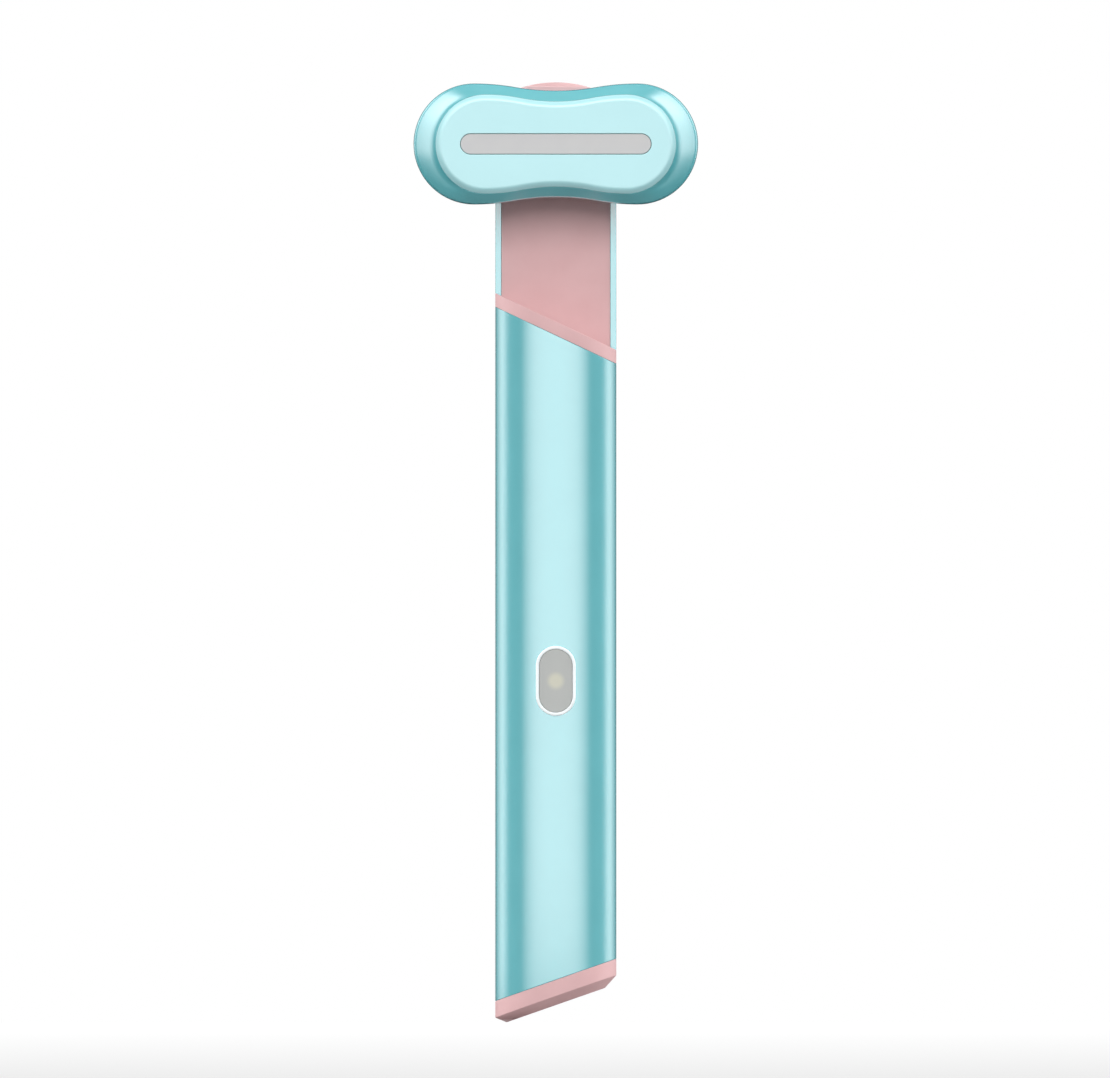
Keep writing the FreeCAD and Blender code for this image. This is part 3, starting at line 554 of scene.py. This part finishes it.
head = {
    "gap": 0.45, "depth": 12.15, "lobeX": 14.19, "lobeR": 10.5, "waist": 9.28, "wall": 1.3,
    "backFillet": 1.6, "filletSteps": 8, "shaftHoleR": 3.55, "jointDepth": 4.6, "rimDepth": 7.75,
    "seamInset": 0.25, "seamDepth": 11.62, "seamGap": 0.01, "ledgeDepth": 8.55, "ledgeWidth": 1.8,
    "backEdge": 0.1, "bezelEdge": 0.05,
}
plate = {
    "lobeX": 12.25, "lobeR": 8.85, "waist": 7.65, "footDepth": 9.75, "innerDepth": 11.35, "wall": 0.8,
    "roll": 1.4, "rollPull": (0.3, 0.26), "rollFlat": 0.6, "rollSteps": 14, "edge": 0.08,
}
window = {
    "halfLength": 16.6, "halfWidth": 1.825, "recess": 0.1, "gap": 0.07, "roundOver": 0.15, "roundSteps": 4,
    "edge": 0.02,
}


def headLoop(outline, depth):
    return [(x, -(head["gap"] + depth), z + wand["swivelZ"]) for x, z in outline]


def housing(inset=0.0):
    return waisted(head["lobeX"], head["lobeR"], head["waist"], inset)


def plateEdge(inset=0.0):
    return waisted(plate["lobeX"], plate["lobeR"], plate["waist"], inset)


def makeHeadBack():
    shaftHole = circle(head["shaftHoleR"])
    loops = [headLoop(shaftHole, head["wall"]), headLoop(shaftHole, 0.0)]
    # the rounded rows are read the other way round, from the flat back to the wall
    for depth, inset in roundOver(head["backFillet"], head["filletSteps"]):
        loops.append(headLoop(housing(inset), depth))
    loops.append(headLoop(housing(), head["jointDepth"]))
    loops.append(headLoop(housing(head["wall"]), head["jointDepth"]))
    loops.append(headLoop(housing(head["wall"]), head["wall"]))
    piece = loopMesh("headBack", loops, closed=True)
    softenEdges(piece, head["backEdge"])
    dress(piece, finish["teal_paint"], "head", "head_back")


def bend(start, startPull, endPull, end, steps):
    # points of a curve that leaves start towards startPull and comes into end from endPull
    points = []
    for i in range(1, steps + 1):
        t = i / steps
        shares = ((1 - t) ** 3, 3 * t * (1 - t) ** 2, 3 * t ** 2 * (1 - t), t ** 3)
        corners = (start, startPull, endPull, end)
        points.append(tuple(sum(share * point[k] for share, point in zip(shares, corners)) for k in (0, 1)))
    return points


def blendOutline(outer, inner, share):
    return [(x0 + (x1 - x0) * share, z0 + (z1 - z0) * share) for (x0, z0), (x1, z1) in zip(outer, inner)]


bezelRoll = {
    # shoulder, its slope, brow, its slope, slope at the seam; points are a share of the width and a depth
    "ends": ((0.14, 10.0), 1.9, (0.7, 10.9), 1.35, 4.6),
    "flanks": ((0.14, 10.2), 1.65, (0.72, 11.16), 1.65, 1.65),
    "flankFrom": 0.72, "flankTo": 0.97,
    # how far each curve runs on along its slope
    "rimPull": 0.72, "shoulderBack": 0.7, "middlePull": 0.2, "browPull": 0.11, "seamPull": 0.07,
    "wallSteps": 24, "faceSteps": 16,
}


def rollDepths(shoulder, shoulderSlope, brow, browSlope, seamSlope):
    # from the rim up over the shoulder and the brow to the seam round the plate: share of the width, depth
    rim = (0.0, head["rimDepth"])
    seam = (1.0, head["seamDepth"])
    middle = bezelRoll["middlePull"]
    steps = bezelRoll["faceSteps"]

    def pull(point, step, slope):
        return (point[0] + step, point[1] + step * slope)

    rimPull = (0.0, rim[1] + bezelRoll["rimPull"] * (shoulder[1] - rim[1]))
    shoulderBack = pull(shoulder, -bezelRoll["shoulderBack"] * shoulder[0], shoulderSlope)
    path = [rim]
    path += bend(rim, rimPull, shoulderBack, shoulder, bezelRoll["wallSteps"])
    path += bend(shoulder, pull(shoulder, middle, shoulderSlope), pull(brow, -middle, browSlope), brow, steps)
    path += bend(brow, pull(brow, bezelRoll["browPull"], browSlope),
                 pull(seam, -bezelRoll["seamPull"], seamSlope), seam, steps)
    return path


def depthAt(path, share):
    for (s0, d0), (s1, d1) in zip(path, path[1:]):
        if share <= s1:
            return d0 + (d1 - d0) * (share - s0) / (s1 - s0) if s1 > s0 else d1
    return path[-1][1]


def bezelLoops():
    # hollow under the plate at the two ends, fuller along the top and bottom flanks
    outer = housing()
    inner = plateEdge(head["seamInset"])
    count = len(outer)
    flank = []
    for i in range(count):
        (x0, z0), (x1, z1) = outer[i - 1], outer[(i + 1) % count]
        upright = abs(x1 - x0) / sqrt((x1 - x0) ** 2 + (z1 - z0) ** 2)
        t = (upright - bezelRoll["flankFrom"]) / (bezelRoll["flankTo"] - bezelRoll["flankFrom"])
        t = min(1.0, max(0.0, t))
        flank.append(t * t * (3 - 2 * t))
    sides = rollDepths(*bezelRoll["flanks"])
    loops = []
    for share, depth in rollDepths(*bezelRoll["ends"]):
        other = depthAt(sides, share) if share > 0 else depth
        loops.append([
            (x, -(head["gap"] + depth + (other - depth) * weight), z + wand["swivelZ"])
            for (x, z), weight in zip(blendOutline(outer, inner, share), flank)])
    return loops


def makeHeadBezel():
    inner = housing(head["wall"])
    ledge = plateEdge(head["ledgeWidth"])
    loops = [headLoop(inner, head["jointDepth"]), headLoop(housing(), head["jointDepth"])]
    loops += bezelLoops()
    loops.append(headLoop(plateEdge(head["seamInset"]), plate["footDepth"]))
    loops.append(headLoop(ledge, plate["footDepth"]))
    loops.append(headLoop(ledge, head["ledgeDepth"]))
    loops.append(headLoop(inner, head["ledgeDepth"]))
    piece = loopMesh("headBezel", loops, closed=True)
    softenEdges(piece, head["bezelEdge"])
    dress(piece, finish["teal_paint"], "head", "head_bezel")


def makeFacePlate():
    front = head["depth"]
    slot = capsule(window["halfLength"], window["halfWidth"])
    edge = plateEdge(head["seamInset"] + head["seamGap"])
    flat = plateEdge(plate["roll"])
    inner = plateEdge(plate["wall"])
    seam = (0.0, head["seamDepth"])
    along, up = plate["rollPull"]
    roll = [seam]
    roll += bend(seam, (along, seam[1] + up), (plate["rollFlat"], front), (1.0, front), plate["rollSteps"])
    loops = [headLoop(slot, plate["innerDepth"]), headLoop(slot, front)]
    loops += [headLoop(blendOutline(edge, flat, share), depth) for share, depth in reversed(roll)]
    loops.append(headLoop(edge, plate["footDepth"]))
    loops.append(headLoop(inner, plate["footDepth"]))
    loops.append(headLoop(inner, plate["innerDepth"]))
    piece = loopMesh("facePlate", loops, closed=True)
    softenEdges(piece, plate["edge"])
    dress(piece, finish["plate_cyan"], "head", "face_plate")


def makeWindow():
    front = head["depth"] - window["recess"]
    length = window["halfLength"] - window["gap"]
    width = window["halfWidth"] - window["gap"]
    loops = [headLoop(capsule(length, width), plate["innerDepth"])]
    for inset, drop in roundOver(window["roundOver"], window["roundSteps"]):
        loops.append(headLoop(capsule(length - inset, width - inset), front - drop))
    piece = loopMesh("ledWindow", loops)
    softenEdges(piece, window["edge"])
    dress(piece, finish["window_grey"], "head", "led_window")


makeBodyTube()
makeEndCap()
makeCollar()
makeTopCap()
makeNeckPlate()
makeButtonRing()
makePowerButton()
print("handle dressed")
makeHeadBack()
makeHeadBezel()
makeFacePlate()
makeWindow()
print("head dressed")


def newTree(name, sizes):
    tree = bpy.data.node_groups.new(name, "GeometryNodeTree")
    tree.interface.new_socket(name="Geometry", in_out="INPUT", socket_type="NodeSocketGeometry")
    tree.interface.new_socket(name="Geometry", in_out="OUTPUT", socket_type="NodeSocketGeometry")
    for size in sizes:
        tree.interface.new_socket(name=size, in_out="INPUT", socket_type="NodeSocketFloat")
    return tree, put(tree, "NodeGroupInput").outputs


def endTree(tree, copies, material=None):
    # the last nodes of every tree: a shape on each point, made real, and its material
    last = put(tree, "GeometryNodeInstanceOnPoints", copies)
    last = put(tree, "GeometryNodeRealizeInstances", {"Geometry": last.outputs[0]})
    if material:
        last = put(tree, "GeometryNodeSetMaterial", {"Geometry": last.outputs[0], "Material": material})
    put(tree, "NodeGroupOutput", {"Geometry": last.outputs[0]})
    return tree


def moved(tree, shape, **place):
    return put(tree, "GeometryNodeTransform", {"Geometry": shape.outputs[0], **place})


def pointCloud(name, points):
    mesh = bpy.data.meshes.new(name)
    mesh.from_pydata([Vector(point) * mm for point in points], [], [])
    return linkObject(name, mesh)


def growNodes(piece, tree, sizes):
    grown = piece.modifiers.new("nodes", "NODES")
    grown.node_group = tree
    for item in tree.interface.items_tree:
        if item.name in sizes:
            grown[item.identifier] = float(sizes[item.name] * mm)
    bakeModifiers(piece)


def nodeBox(name):
    low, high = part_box(name)
    return [value / mm for value in low], [value / mm for value in high]


screw = {
    "headR": 1.3, "headHigh": 0.7, "domeHigh": 0.32, "shankR": 0.68, "crossWide": 0.32, "crossLong": 1.5,
    "crossDeep": 0.4, "headSides": 40, "domeRings": 16, "shankSides": 28, "turnSeed": 7,
    # the dome is a hair narrower than the rim, and the shank reaches a hair into the head
    "domeShare": 0.995, "shankDrop": -0.4999,
}


def screwTree(material):
    # meant as a pan-head screw with a cross recess on every point, its head towards -Y, its seat at the point;
    # known fault: so small, the Booleans' default solver loses the rim and the shank and leaves an open dome
    tree, sizes = newTree("crossHeadScrew", (
        "Head Radius", "Head Height", "Dome Height", "Shank Radius", "Shank Length",
        "Cross Width", "Cross Length", "Cross Depth"))
    rimHigh = mathNode(tree, "SUBTRACT", sizes["Head Height"], sizes["Dome Height"])
    rim = put(tree, "GeometryNodeMeshCylinder", {
        "Vertices": screw["headSides"], "Radius": sizes["Head Radius"], "Depth": rimHigh})
    dome = put(tree, "GeometryNodeMeshUVSphere", {
        "Segments": screw["headSides"], "Rings": screw["domeRings"], "Radius": sizes["Head Radius"]})
    shank = put(tree, "GeometryNodeMeshCylinder", {
        "Vertices": screw["shankSides"], "Radius": sizes["Shank Radius"], "Depth": sizes["Shank Length"]})
    halfRim = mathNode(tree, "MULTIPLY", rimHigh, 0.5)
    flatten = mathNode(tree, "DIVIDE", sizes["Dome Height"], sizes["Head Radius"])
    shankDrop = mathNode(tree, "MULTIPLY", sizes["Shank Length"], screw["shankDrop"])
    domeScale = vectorNode(tree, screw["domeShare"], screw["domeShare"], flatten)
    solid = put(tree, "GeometryNodeMeshBoolean", operation="UNION")
    for shape in (
            moved(tree, rim, Translation=vectorNode(tree, z=halfRim)),
            moved(tree, dome, Translation=vectorNode(tree, z=rimHigh), Scale=domeScale),
            moved(tree, shank, Translation=vectorNode(tree, z=shankDrop))):
        tree.links.new(shape.outputs[0], solid.inputs["Mesh 2"])
    cross = put(tree, "GeometryNodeMeshBoolean", {"Mesh 1": solid.outputs["Mesh"]}, operation="DIFFERENCE")
    deep = mathNode(tree, "MULTIPLY", sizes["Cross Depth"], 2.0)
    long, wide = sizes["Cross Length"], sizes["Cross Width"]
    for x, y in ((long, wide), (wide, long)):
        bar = put(tree, "GeometryNodeMeshCube", {"Size": vectorNode(tree, x, y, deep)})
        barUp = moved(tree, bar, Translation=vectorNode(tree, z=sizes["Head Height"]))
        tree.links.new(barUp.outputs[0], cross.inputs["Mesh 2"])
    turn = put(tree, "FunctionNodeRandomValue", {
        "Min": (0, 0, 0), "Max": (0, pi / 2, 0), "Seed": screw["turnSeed"]}, data_type="FLOAT_VECTOR")
    return endTree(tree, {
        "Points": put(tree, "GeometryNodeMeshToPoints", {"Mesh": sizes["Geometry"]}).outputs[0],
        "Instance": moved(tree, cross, Rotation=(pi / 2, 0, 0)).outputs[0],
        "Rotation": turn.outputs["Value"]}, material)


def placesOfFour(name):
    # a group of screws stands at the corners of its own box
    radius = screw["headR"]
    low, high = nodeBox(name)
    xs = (low[0] + radius, high[0] - radius)
    zs = (low[2] + radius, high[2] - radius)
    if high[2] - low[2] < 2.5 * radius:   # the box has room for one row only
        zs = ((low[2] + high[2]) / 2,)
    return [(x, low[1] + screw["headHigh"], z) for x in xs for z in zs]


def makeScrews(name, body, node):
    low, high = nodeBox(node)
    piece = pointCloud(name, placesOfFour(node))
    growNodes(piece, crossHead, {
        "Head Radius": screw["headR"], "Head Height": screw["headHigh"], "Dome Height": screw["domeHigh"],
        "Shank Radius": screw["shankR"], "Shank Length": high[1] - low[1] - screw["headHigh"],
        "Cross Width": screw["crossWide"], "Cross Length": screw["crossLong"],
        "Cross Depth": screw["crossDeep"]})
    dress(piece, finish["steel"], body, node)


crossHead = screwTree(finish["steel"])
makeScrews("neckScrews", "handle", "neck_screws")
makeScrews("boardScrews", "handle", "board_screws")
makeScrews("shaftScrews", "head", "shaft_screws")
makeScrews("bezelScrews", "head", "bezel_screws")
print("screws set")

inlet = {
    "shellHalfLength": 4.47, "shellHalfWidth": 1.63, "shellWall": 0.3, "mouthZ": -25.75, "backZ": -18.4,
    "lip": 0.12, "shellEdge": 0.03,
    "tongueHalfWidth": 3.345, "tongueHalfThick": 0.35, "tongueFootZ": -19.0, "tongueTipZ": -23.75,
    "tongueEdge": 0.08, "backThick": 0.6, "backGap": 0.04,
    "contactCount": 12, "contactPitch": 0.5, "contactWide": 0.25, "contactLong": 3.2, "contactThick": 0.04,
    "contactInset": 0.4,
}


def makeSocket():
    wall = inlet["shellWall"]
    lip = inlet["lip"]
    mouth = inlet["mouthZ"]
    back = inlet["backZ"]
    # how far in and how high: down the outside, round the lip and up the inside to the closed back
    rows = [
        (0.0, back), (0.0, mouth + lip), (lip / 3, mouth + lip / 4), (wall / 2, mouth),
        (wall - lip / 3, mouth + lip / 4), (wall, mouth + lip), (wall, back - 2 * wall),
    ]
    piece = loopMesh("chargeSocket", [
        upLoop(capsule(inlet["shellHalfLength"] - inset, inlet["shellHalfWidth"] - inset), z)
        for inset, z in rows])
    softenEdges(piece, inlet["shellEdge"])
    dress(piece, finish["nickel"], "handle", "charge_socket")


def makeTongue():
    # black blade on the plug that closes the shell's back
    foot = inlet["tongueFootZ"]
    insideHalfWidth = inlet["shellHalfWidth"] - inlet["shellWall"]
    plugLong = 2 * (inlet["shellHalfLength"] - inlet["shellWall"] - inlet["shellHalfWidth"])
    blade = (2 * inlet["tongueHalfWidth"], 2 * inlet["tongueHalfThick"], inlet["tongueTipZ"])
    plug = (plugLong, 2 * insideHalfWidth - inlet["backGap"], foot - inlet["backThick"])
    bm = bmesh.new()
    for long, thick, low in (blade, plug):
        made = bmesh.ops.create_cube(bm, size=1.0)["verts"]
        bmesh.ops.scale(bm, vec=(long * mm, thick * mm, (foot - low) * mm), verts=made)
        bmesh.ops.translate(bm, vec=(0, 0, (low + foot) / 2 * mm), verts=made)
    piece = closedMesh("socketTongue", bm)
    softenEdges(piece, inlet["tongueEdge"])
    dress(piece, finish["black_plastic"], "handle", "socket_tongue")


def contactTree(material):
    # a row of flat bars on each side of the tongue
    tree, sizes = newTree("contactRow", (
        "Pitch", "Contact Width", "Contact Length", "Thickness", "Offset", "Middle"))
    reach = mathNode(tree, "MULTIPLY", sizes["Pitch"], (inlet["contactCount"] - 1) / 2)
    low = mathNode(tree, "MULTIPLY", reach, -1.0)
    rows = put(tree, "GeometryNodeJoinGeometry")
    for side in (-1.0, 1.0):
        level = mathNode(tree, "MULTIPLY", sizes["Offset"], side)
        line = put(tree, "GeometryNodeMeshLine", {
            "Count": inlet["contactCount"], "Start Location": vectorNode(tree, low, level, sizes["Middle"]),
            "Offset": vectorNode(tree, sizes["Pitch"])})
        tree.links.new(line.outputs[0], rows.inputs[0])
    bar = put(tree, "GeometryNodeMeshCube", {
        "Size": vectorNode(tree, sizes["Contact Width"], sizes["Thickness"], sizes["Contact Length"])})
    return endTree(tree, {"Points": rows.outputs[0], "Instance": bar.outputs["Mesh"]}, material)


def makeContacts():
    piece = pointCloud("tongueContacts", [(0, 0, 0)])
    growNodes(piece, contactTree(finish["brass"]), {
        "Pitch": inlet["contactPitch"], "Contact Width": inlet["contactWide"],
        "Contact Length": inlet["contactLong"], "Thickness": inlet["contactThick"],
        "Offset": inlet["tongueHalfThick"],
        "Middle": inlet["tongueTipZ"] + inlet["contactInset"] + inlet["contactLong"] / 2})
    dress(piece, finish["brass"], "handle")


makeSocket()
makeTongue()
makeContacts()
print("inlet fitted")

lamp = {"count": 9, "side": 2.0, "thick": 0.8, "lensR": 0.72, "lensThick": 0.06, "lensSides": 32}


def lampTree(body, lens):
    # a square lamp with a round lens on its front, on every point
    tree, sizes = newTree("lampRow", ("Side", "Thickness", "Lens Radius", "Lens Thickness"))
    side = sizes["Side"]
    block = put(tree, "GeometryNodeMeshCube", {"Size": vectorNode(tree, side, sizes["Thickness"], side)})
    disc = put(tree, "GeometryNodeMeshCylinder", {
        "Vertices": lamp["lensSides"], "Radius": sizes["Lens Radius"], "Depth": sizes["Lens Thickness"]})
    front = mathNode(tree, "MULTIPLY", sizes["Thickness"], -0.5)
    discUp = moved(tree, disc, Rotation=(pi / 2, 0, 0), Translation=vectorNode(tree, y=front))
    both = put(tree, "GeometryNodeJoinGeometry")
    for shape, material in ((block, body), (discUp, lens)):
        dressed = put(tree, "GeometryNodeSetMaterial", {"Geometry": shape.outputs[0], "Material": material})
        tree.links.new(dressed.outputs[0], both.inputs[0])
    points = put(tree, "GeometryNodeMeshToPoints", {"Mesh": sizes["Geometry"]})
    return endTree(tree, {"Points": points.outputs[0], "Instance": both.outputs[0]})


def makeLamps():
    low, high = nodeBox("head_leds")
    first = low[0] + lamp["side"] / 2
    pitch = (high[0] - low[0] - lamp["side"]) / (lamp["count"] - 1)
    y, z = ((low[axis] + high[axis]) / 2 for axis in (1, 2))
    piece = pointCloud("headLamps", [(first + pitch * i, y, z) for i in range(lamp["count"])])
    growNodes(piece, lampTree(finish["cream_plastic"], finish["led_yellow"]), {
        "Side": lamp["side"], "Thickness": lamp["thick"] - lamp["lensThick"],
        "Lens Radius": lamp["lensR"], "Lens Thickness": lamp["lensThick"]})
    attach(piece, "head")
    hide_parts("head_leds")


makeLamps()
print("lamps set")

for nodeName, node in frame["nodes"].items():
    node.data.materials.clear()
    node.data.materials.append(finish[slotOf[nodeName]])

studio = {
    "frameWidth": 192.6, "frameCentreX": -0.14, "frameCentreZ": 51.86, "cameraDistance": 900.0,
    "fillLow": 0.05, "fillHigh": 0.6, "fillReach": 0.6,
    "floorR": 135.0, "floorZ": -32.1, "floorGrey": 0.44, "floorSeen": 0.75,
    "apronWide": 40.0, "apronDrop": 10.5, "apronFrom": 0.2, "apronTo": 0.7,
    # glowDeep, glowLow and glowHigh set the painted shade down the floor's apron
    "glowDeep": 10.0, "glowLow": 0.9, "glowHigh": 1.15, "clothLift": 0.6, "clothGlow": 0.03,
}
# place, target, width, height, power
softboxes = {
    "frontHigh": ((0, -600, 390), (0, 0, 70), 380, 380, 2.9),
    "overhead": ((0, -40, 620), (0, 0, 100), 400, 300, 1.6),
    "rimLeft": ((-520, 190, 140), (0, 0, 50), 200, 400, 2.6),
    "rimRight": ((520, 190, 140), (0, 0, 50), 200, 400, 2.6),
}
white = (1, 1, 1, 1)


def seenRays(tree):
    # 1 for the eye, for reflections and for what is seen through glass
    path = put(tree, "ShaderNodeLightPath").outputs
    direct = mathNode(tree, "MAXIMUM", path["Is Camera Ray"], path["Is Glossy Ray"])
    return mathNode(tree, "MAXIMUM", direct, path["Is Transmission Ray"])


def splitPoint(tree, space="Object"):
    return put(tree, "ShaderNodeSeparateXYZ", {0: pointNode(tree, space)}).outputs


def mixShader(tree, share, first, second):
    return put(tree, "ShaderNodeMixShader", {0: share, 1: first, 2: second}).outputs[0]


def glowNode(tree, strength):
    return put(tree, "ShaderNodeEmission", {"Color": white, "Strength": strength}).outputs[0]


def whiteForTheEye(world):
    # plain white to look at; its light on the object is weaker, and most of it comes from above
    tree = world.node_tree
    tree.nodes.clear()
    reach = studio["fillReach"]
    up = splitPoint(tree, "Generated")["Z"]
    strength = spread(tree, up, studio["fillLow"], studio["fillHigh"], -reach, reach)
    fill = put(tree, "ShaderNodeBackground", {"Color": white, "Strength": strength})
    backdrop = put(tree, "ShaderNodeBackground", {"Color": white, "Strength": 1.0})
    mix = mixShader(tree, seenRays(tree), fill.outputs[0], backdrop.outputs[0])
    put(tree, "ShaderNodeOutputWorld", {"Surface": mix})


def softbox(name, place, target, width, height, power):
    light = bpy.data.lights.new(name, "AREA")
    light.shape = "RECTANGLE"
    light.size = width * mm
    light.size_y = height * mm
    light.energy = power
    thing = linkObject(name, light)
    thing.location = Vector(place) * mm
    thing.rotation_euler = (Vector(target) * mm - thing.location).to_track_quat("-Z", "Y").to_euler()
    thing.visible_camera = False
    thing.visible_glossy = False


def stageMaterial(piece, name):
    material = bpy.data.materials.new(name)
    material.use_nodes = True
    material.node_tree.nodes.clear()
    piece.data.materials.append(material)
    return material


def onlyReflected(piece):
    piece.visible_camera = False
    piece.visible_diffuse = False
    piece.visible_shadow = False
    piece.visible_transmission = False


tent = {
    "radius": 4000.0, "strength": 2.12, "meridians": 96, "parallels": 48,
    # brightness by degrees away from the front, the same to the left and the right
    "around": [(0, 1.0), (40, 1.0), (50, 0.8), (62, 0.4), (69, 0.09), (103, 0.09), (112, 0.5), (120, 0.8),
               (128, 0.78), (142, 0.38), (156, 0.08), (180, 0.08)],
    # and by degrees above the level
    "upward": [(-90, 0.01), (-30, 0.02), (-18, 0.05), (-9, 0.14), (-4, 0.54), (-2, 0.625), (4, 0.625),
               (15, 0.72), (25, 0.95), (36, 1.0), (44, 0.8), (52, 0.18), (60, 0.02), (90, 0.01)],
    # a dimmer board low in the middle
    "lowAround": [(0, 1.0), (24, 1.0), (40, 0.15), (60, 0.0), (180, 0.0)],
    "lowUpward": [(-90, 0.0), (-45, 0.0), (-30, 0.14), (-20, 0.26), (-10, 0.34), (-5, 0.3), (0, 0.0),
                  (90, 0.0)],
}


def rampNode(tree, value, stops):
    # stops are pairs of an angle in degrees and a share; value is the angle in radians
    low, high = stops[0][0], stops[-1][0]
    place = spread(tree, value, 0.0, 1.0, radians(low), radians(high))
    ramp = put(tree, "ShaderNodeValToRGB", {0: place})
    elements = ramp.color_ramp.elements
    while len(elements) < len(stops):
        elements.new(0.5)
    for element, (angle, share) in zip(elements, stops):
        element.position = (angle - low) / (high - low)
    for element, (angle, share) in zip(elements, stops):
        element.color = (share, share, share, 1)
    return ramp.outputs["Color"]


def makeTent():
    # a big ball of soft boards and dark gaps round the set, which only reflections see
    bm = bmesh.new()
    bmesh.ops.create_uvsphere(
        bm, u_segments=tent["meridians"], v_segments=tent["parallels"], radius=tent["radius"] * mm)
    bmesh.ops.reverse_faces(bm, faces=bm.faces)
    ball = meshObject("tent", bm)
    material = stageMaterial(ball, "tent")
    material.cycles.emission_sampling = "NONE"
    tree = material.node_tree
    point = splitPoint(tree)
    side = mathNode(tree, "ABSOLUTE", point["X"])
    turn = mathNode(tree, "ARCTAN2", side, mathNode(tree, "MULTIPLY", point["Y"], -1.0))
    up = mathNode(tree, "ARCSINE", mathNode(tree, "DIVIDE", point["Z"], tent["radius"] * mm))
    boards = [
        mathNode(tree, "MULTIPLY", rampNode(tree, turn, tent[around]), rampNode(tree, up, tent[upward]))
        for around, upward in (("around", "upward"), ("lowAround", "lowUpward"))]
    strength = mathNode(tree, "MULTIPLY", mathNode(tree, "ADD", *boards), tent["strength"])
    put(tree, "ShaderNodeOutputMaterial", {"Surface": glowNode(tree, strength)})
    onlyReflected(ball)


def lowCard():
    # a dark cloth over the floor, seen by reflections only
    side = studio["floorR"] + studio["apronWide"]
    level = studio["floorZ"] + studio["clothLift"]
    corners = ((-side, -side, level), (side, -side, level), (side, side, level), (-side, side, level))
    bm = bmesh.new()
    bm.faces.new([bm.verts.new(Vector(corner) * mm) for corner in corners])
    cloth = meshObject("lowCloth", bm)
    tree = stageMaterial(cloth, "lowCloth").node_tree
    put(tree, "ShaderNodeOutputMaterial", {"Surface": glowNode(tree, studio["clothGlow"])})
    onlyReflected(cloth)


def makeFloor():
    level = studio["floorZ"]
    edge = studio["floorR"] + studio["apronWide"]

    def apronZ(y):
        # the floor falls away towards the front only
        share = (-y / edge - studio["apronFrom"]) / (studio["apronTo"] - studio["apronFrom"])
        return level - studio["apronDrop"] * min(1.0, max(0.0, share))

    bm = bmesh.new()
    rows = skin(bm, [
        [(x, y, apronZ(y)) for x, y in circle(edge)],
        upLoop(circle(studio["floorR"]), level),
        upLoop(circle(studio["floorR"] / 2), level)])
    bm.faces.new(rows[-1])
    bmesh.ops.recalc_face_normals(bm, faces=bm.faces)
    if sum(face.normal.z for face in bm.faces) < 0:
        bmesh.ops.reverse_faces(bm, faces=bm.faces)
    floor = meshObject("floor", bm)
    tree = stageMaterial(floor, "paleFloor").node_tree
    # painted shade: the floor's glow dims down the apron, darker towards its low front edge
    strength = spread(tree, splitPoint(tree)["Z"], studio["glowLow"], studio["glowHigh"],
                      (level - studio["glowDeep"]) * mm, level * mm)
    matte = put(tree, "ShaderNodeBsdfDiffuse", {"Color": (*[studio["floorGrey"]] * 3, 1)})
    share = mathNode(tree, "MULTIPLY", seenRays(tree), studio["floorSeen"])
    top = mixShader(tree, share, matte.outputs[0], glowNode(tree, strength))
    under = put(tree, "ShaderNodeBsdfTransparent")   # from below it doesn't hide the object
    fromBelow = put(tree, "ShaderNodeNewGeometry").outputs["Backfacing"]
    mix = mixShader(tree, fromBelow, top, under.outputs[0])
    put(tree, "ShaderNodeOutputMaterial", {"Surface": mix})


def makeStudio():
    scene = bpy.context.scene
    scene.view_settings.view_transform = "Standard"
    scene.world = bpy.data.worlds.new("studio")
    scene.world.use_nodes = True
    whiteForTheEye(scene.world)
    makeFloor()
    for name, values in softboxes.items():
        softbox(name, *values)
    makeTent()
    lowCard()
    camera = bpy.data.cameras.new("camera")
    camera.type = "ORTHO"
    camera.ortho_scale = studio["frameWidth"] * mm
    thing = linkObject("camera", camera)
    thing.location = Vector((studio["frameCentreX"], -studio["cameraDistance"], studio["frameCentreZ"])) * mm
    thing.rotation_euler = (pi / 2, 0, 0)
    scene.camera = thing


makeStudio()
print("studio ready")
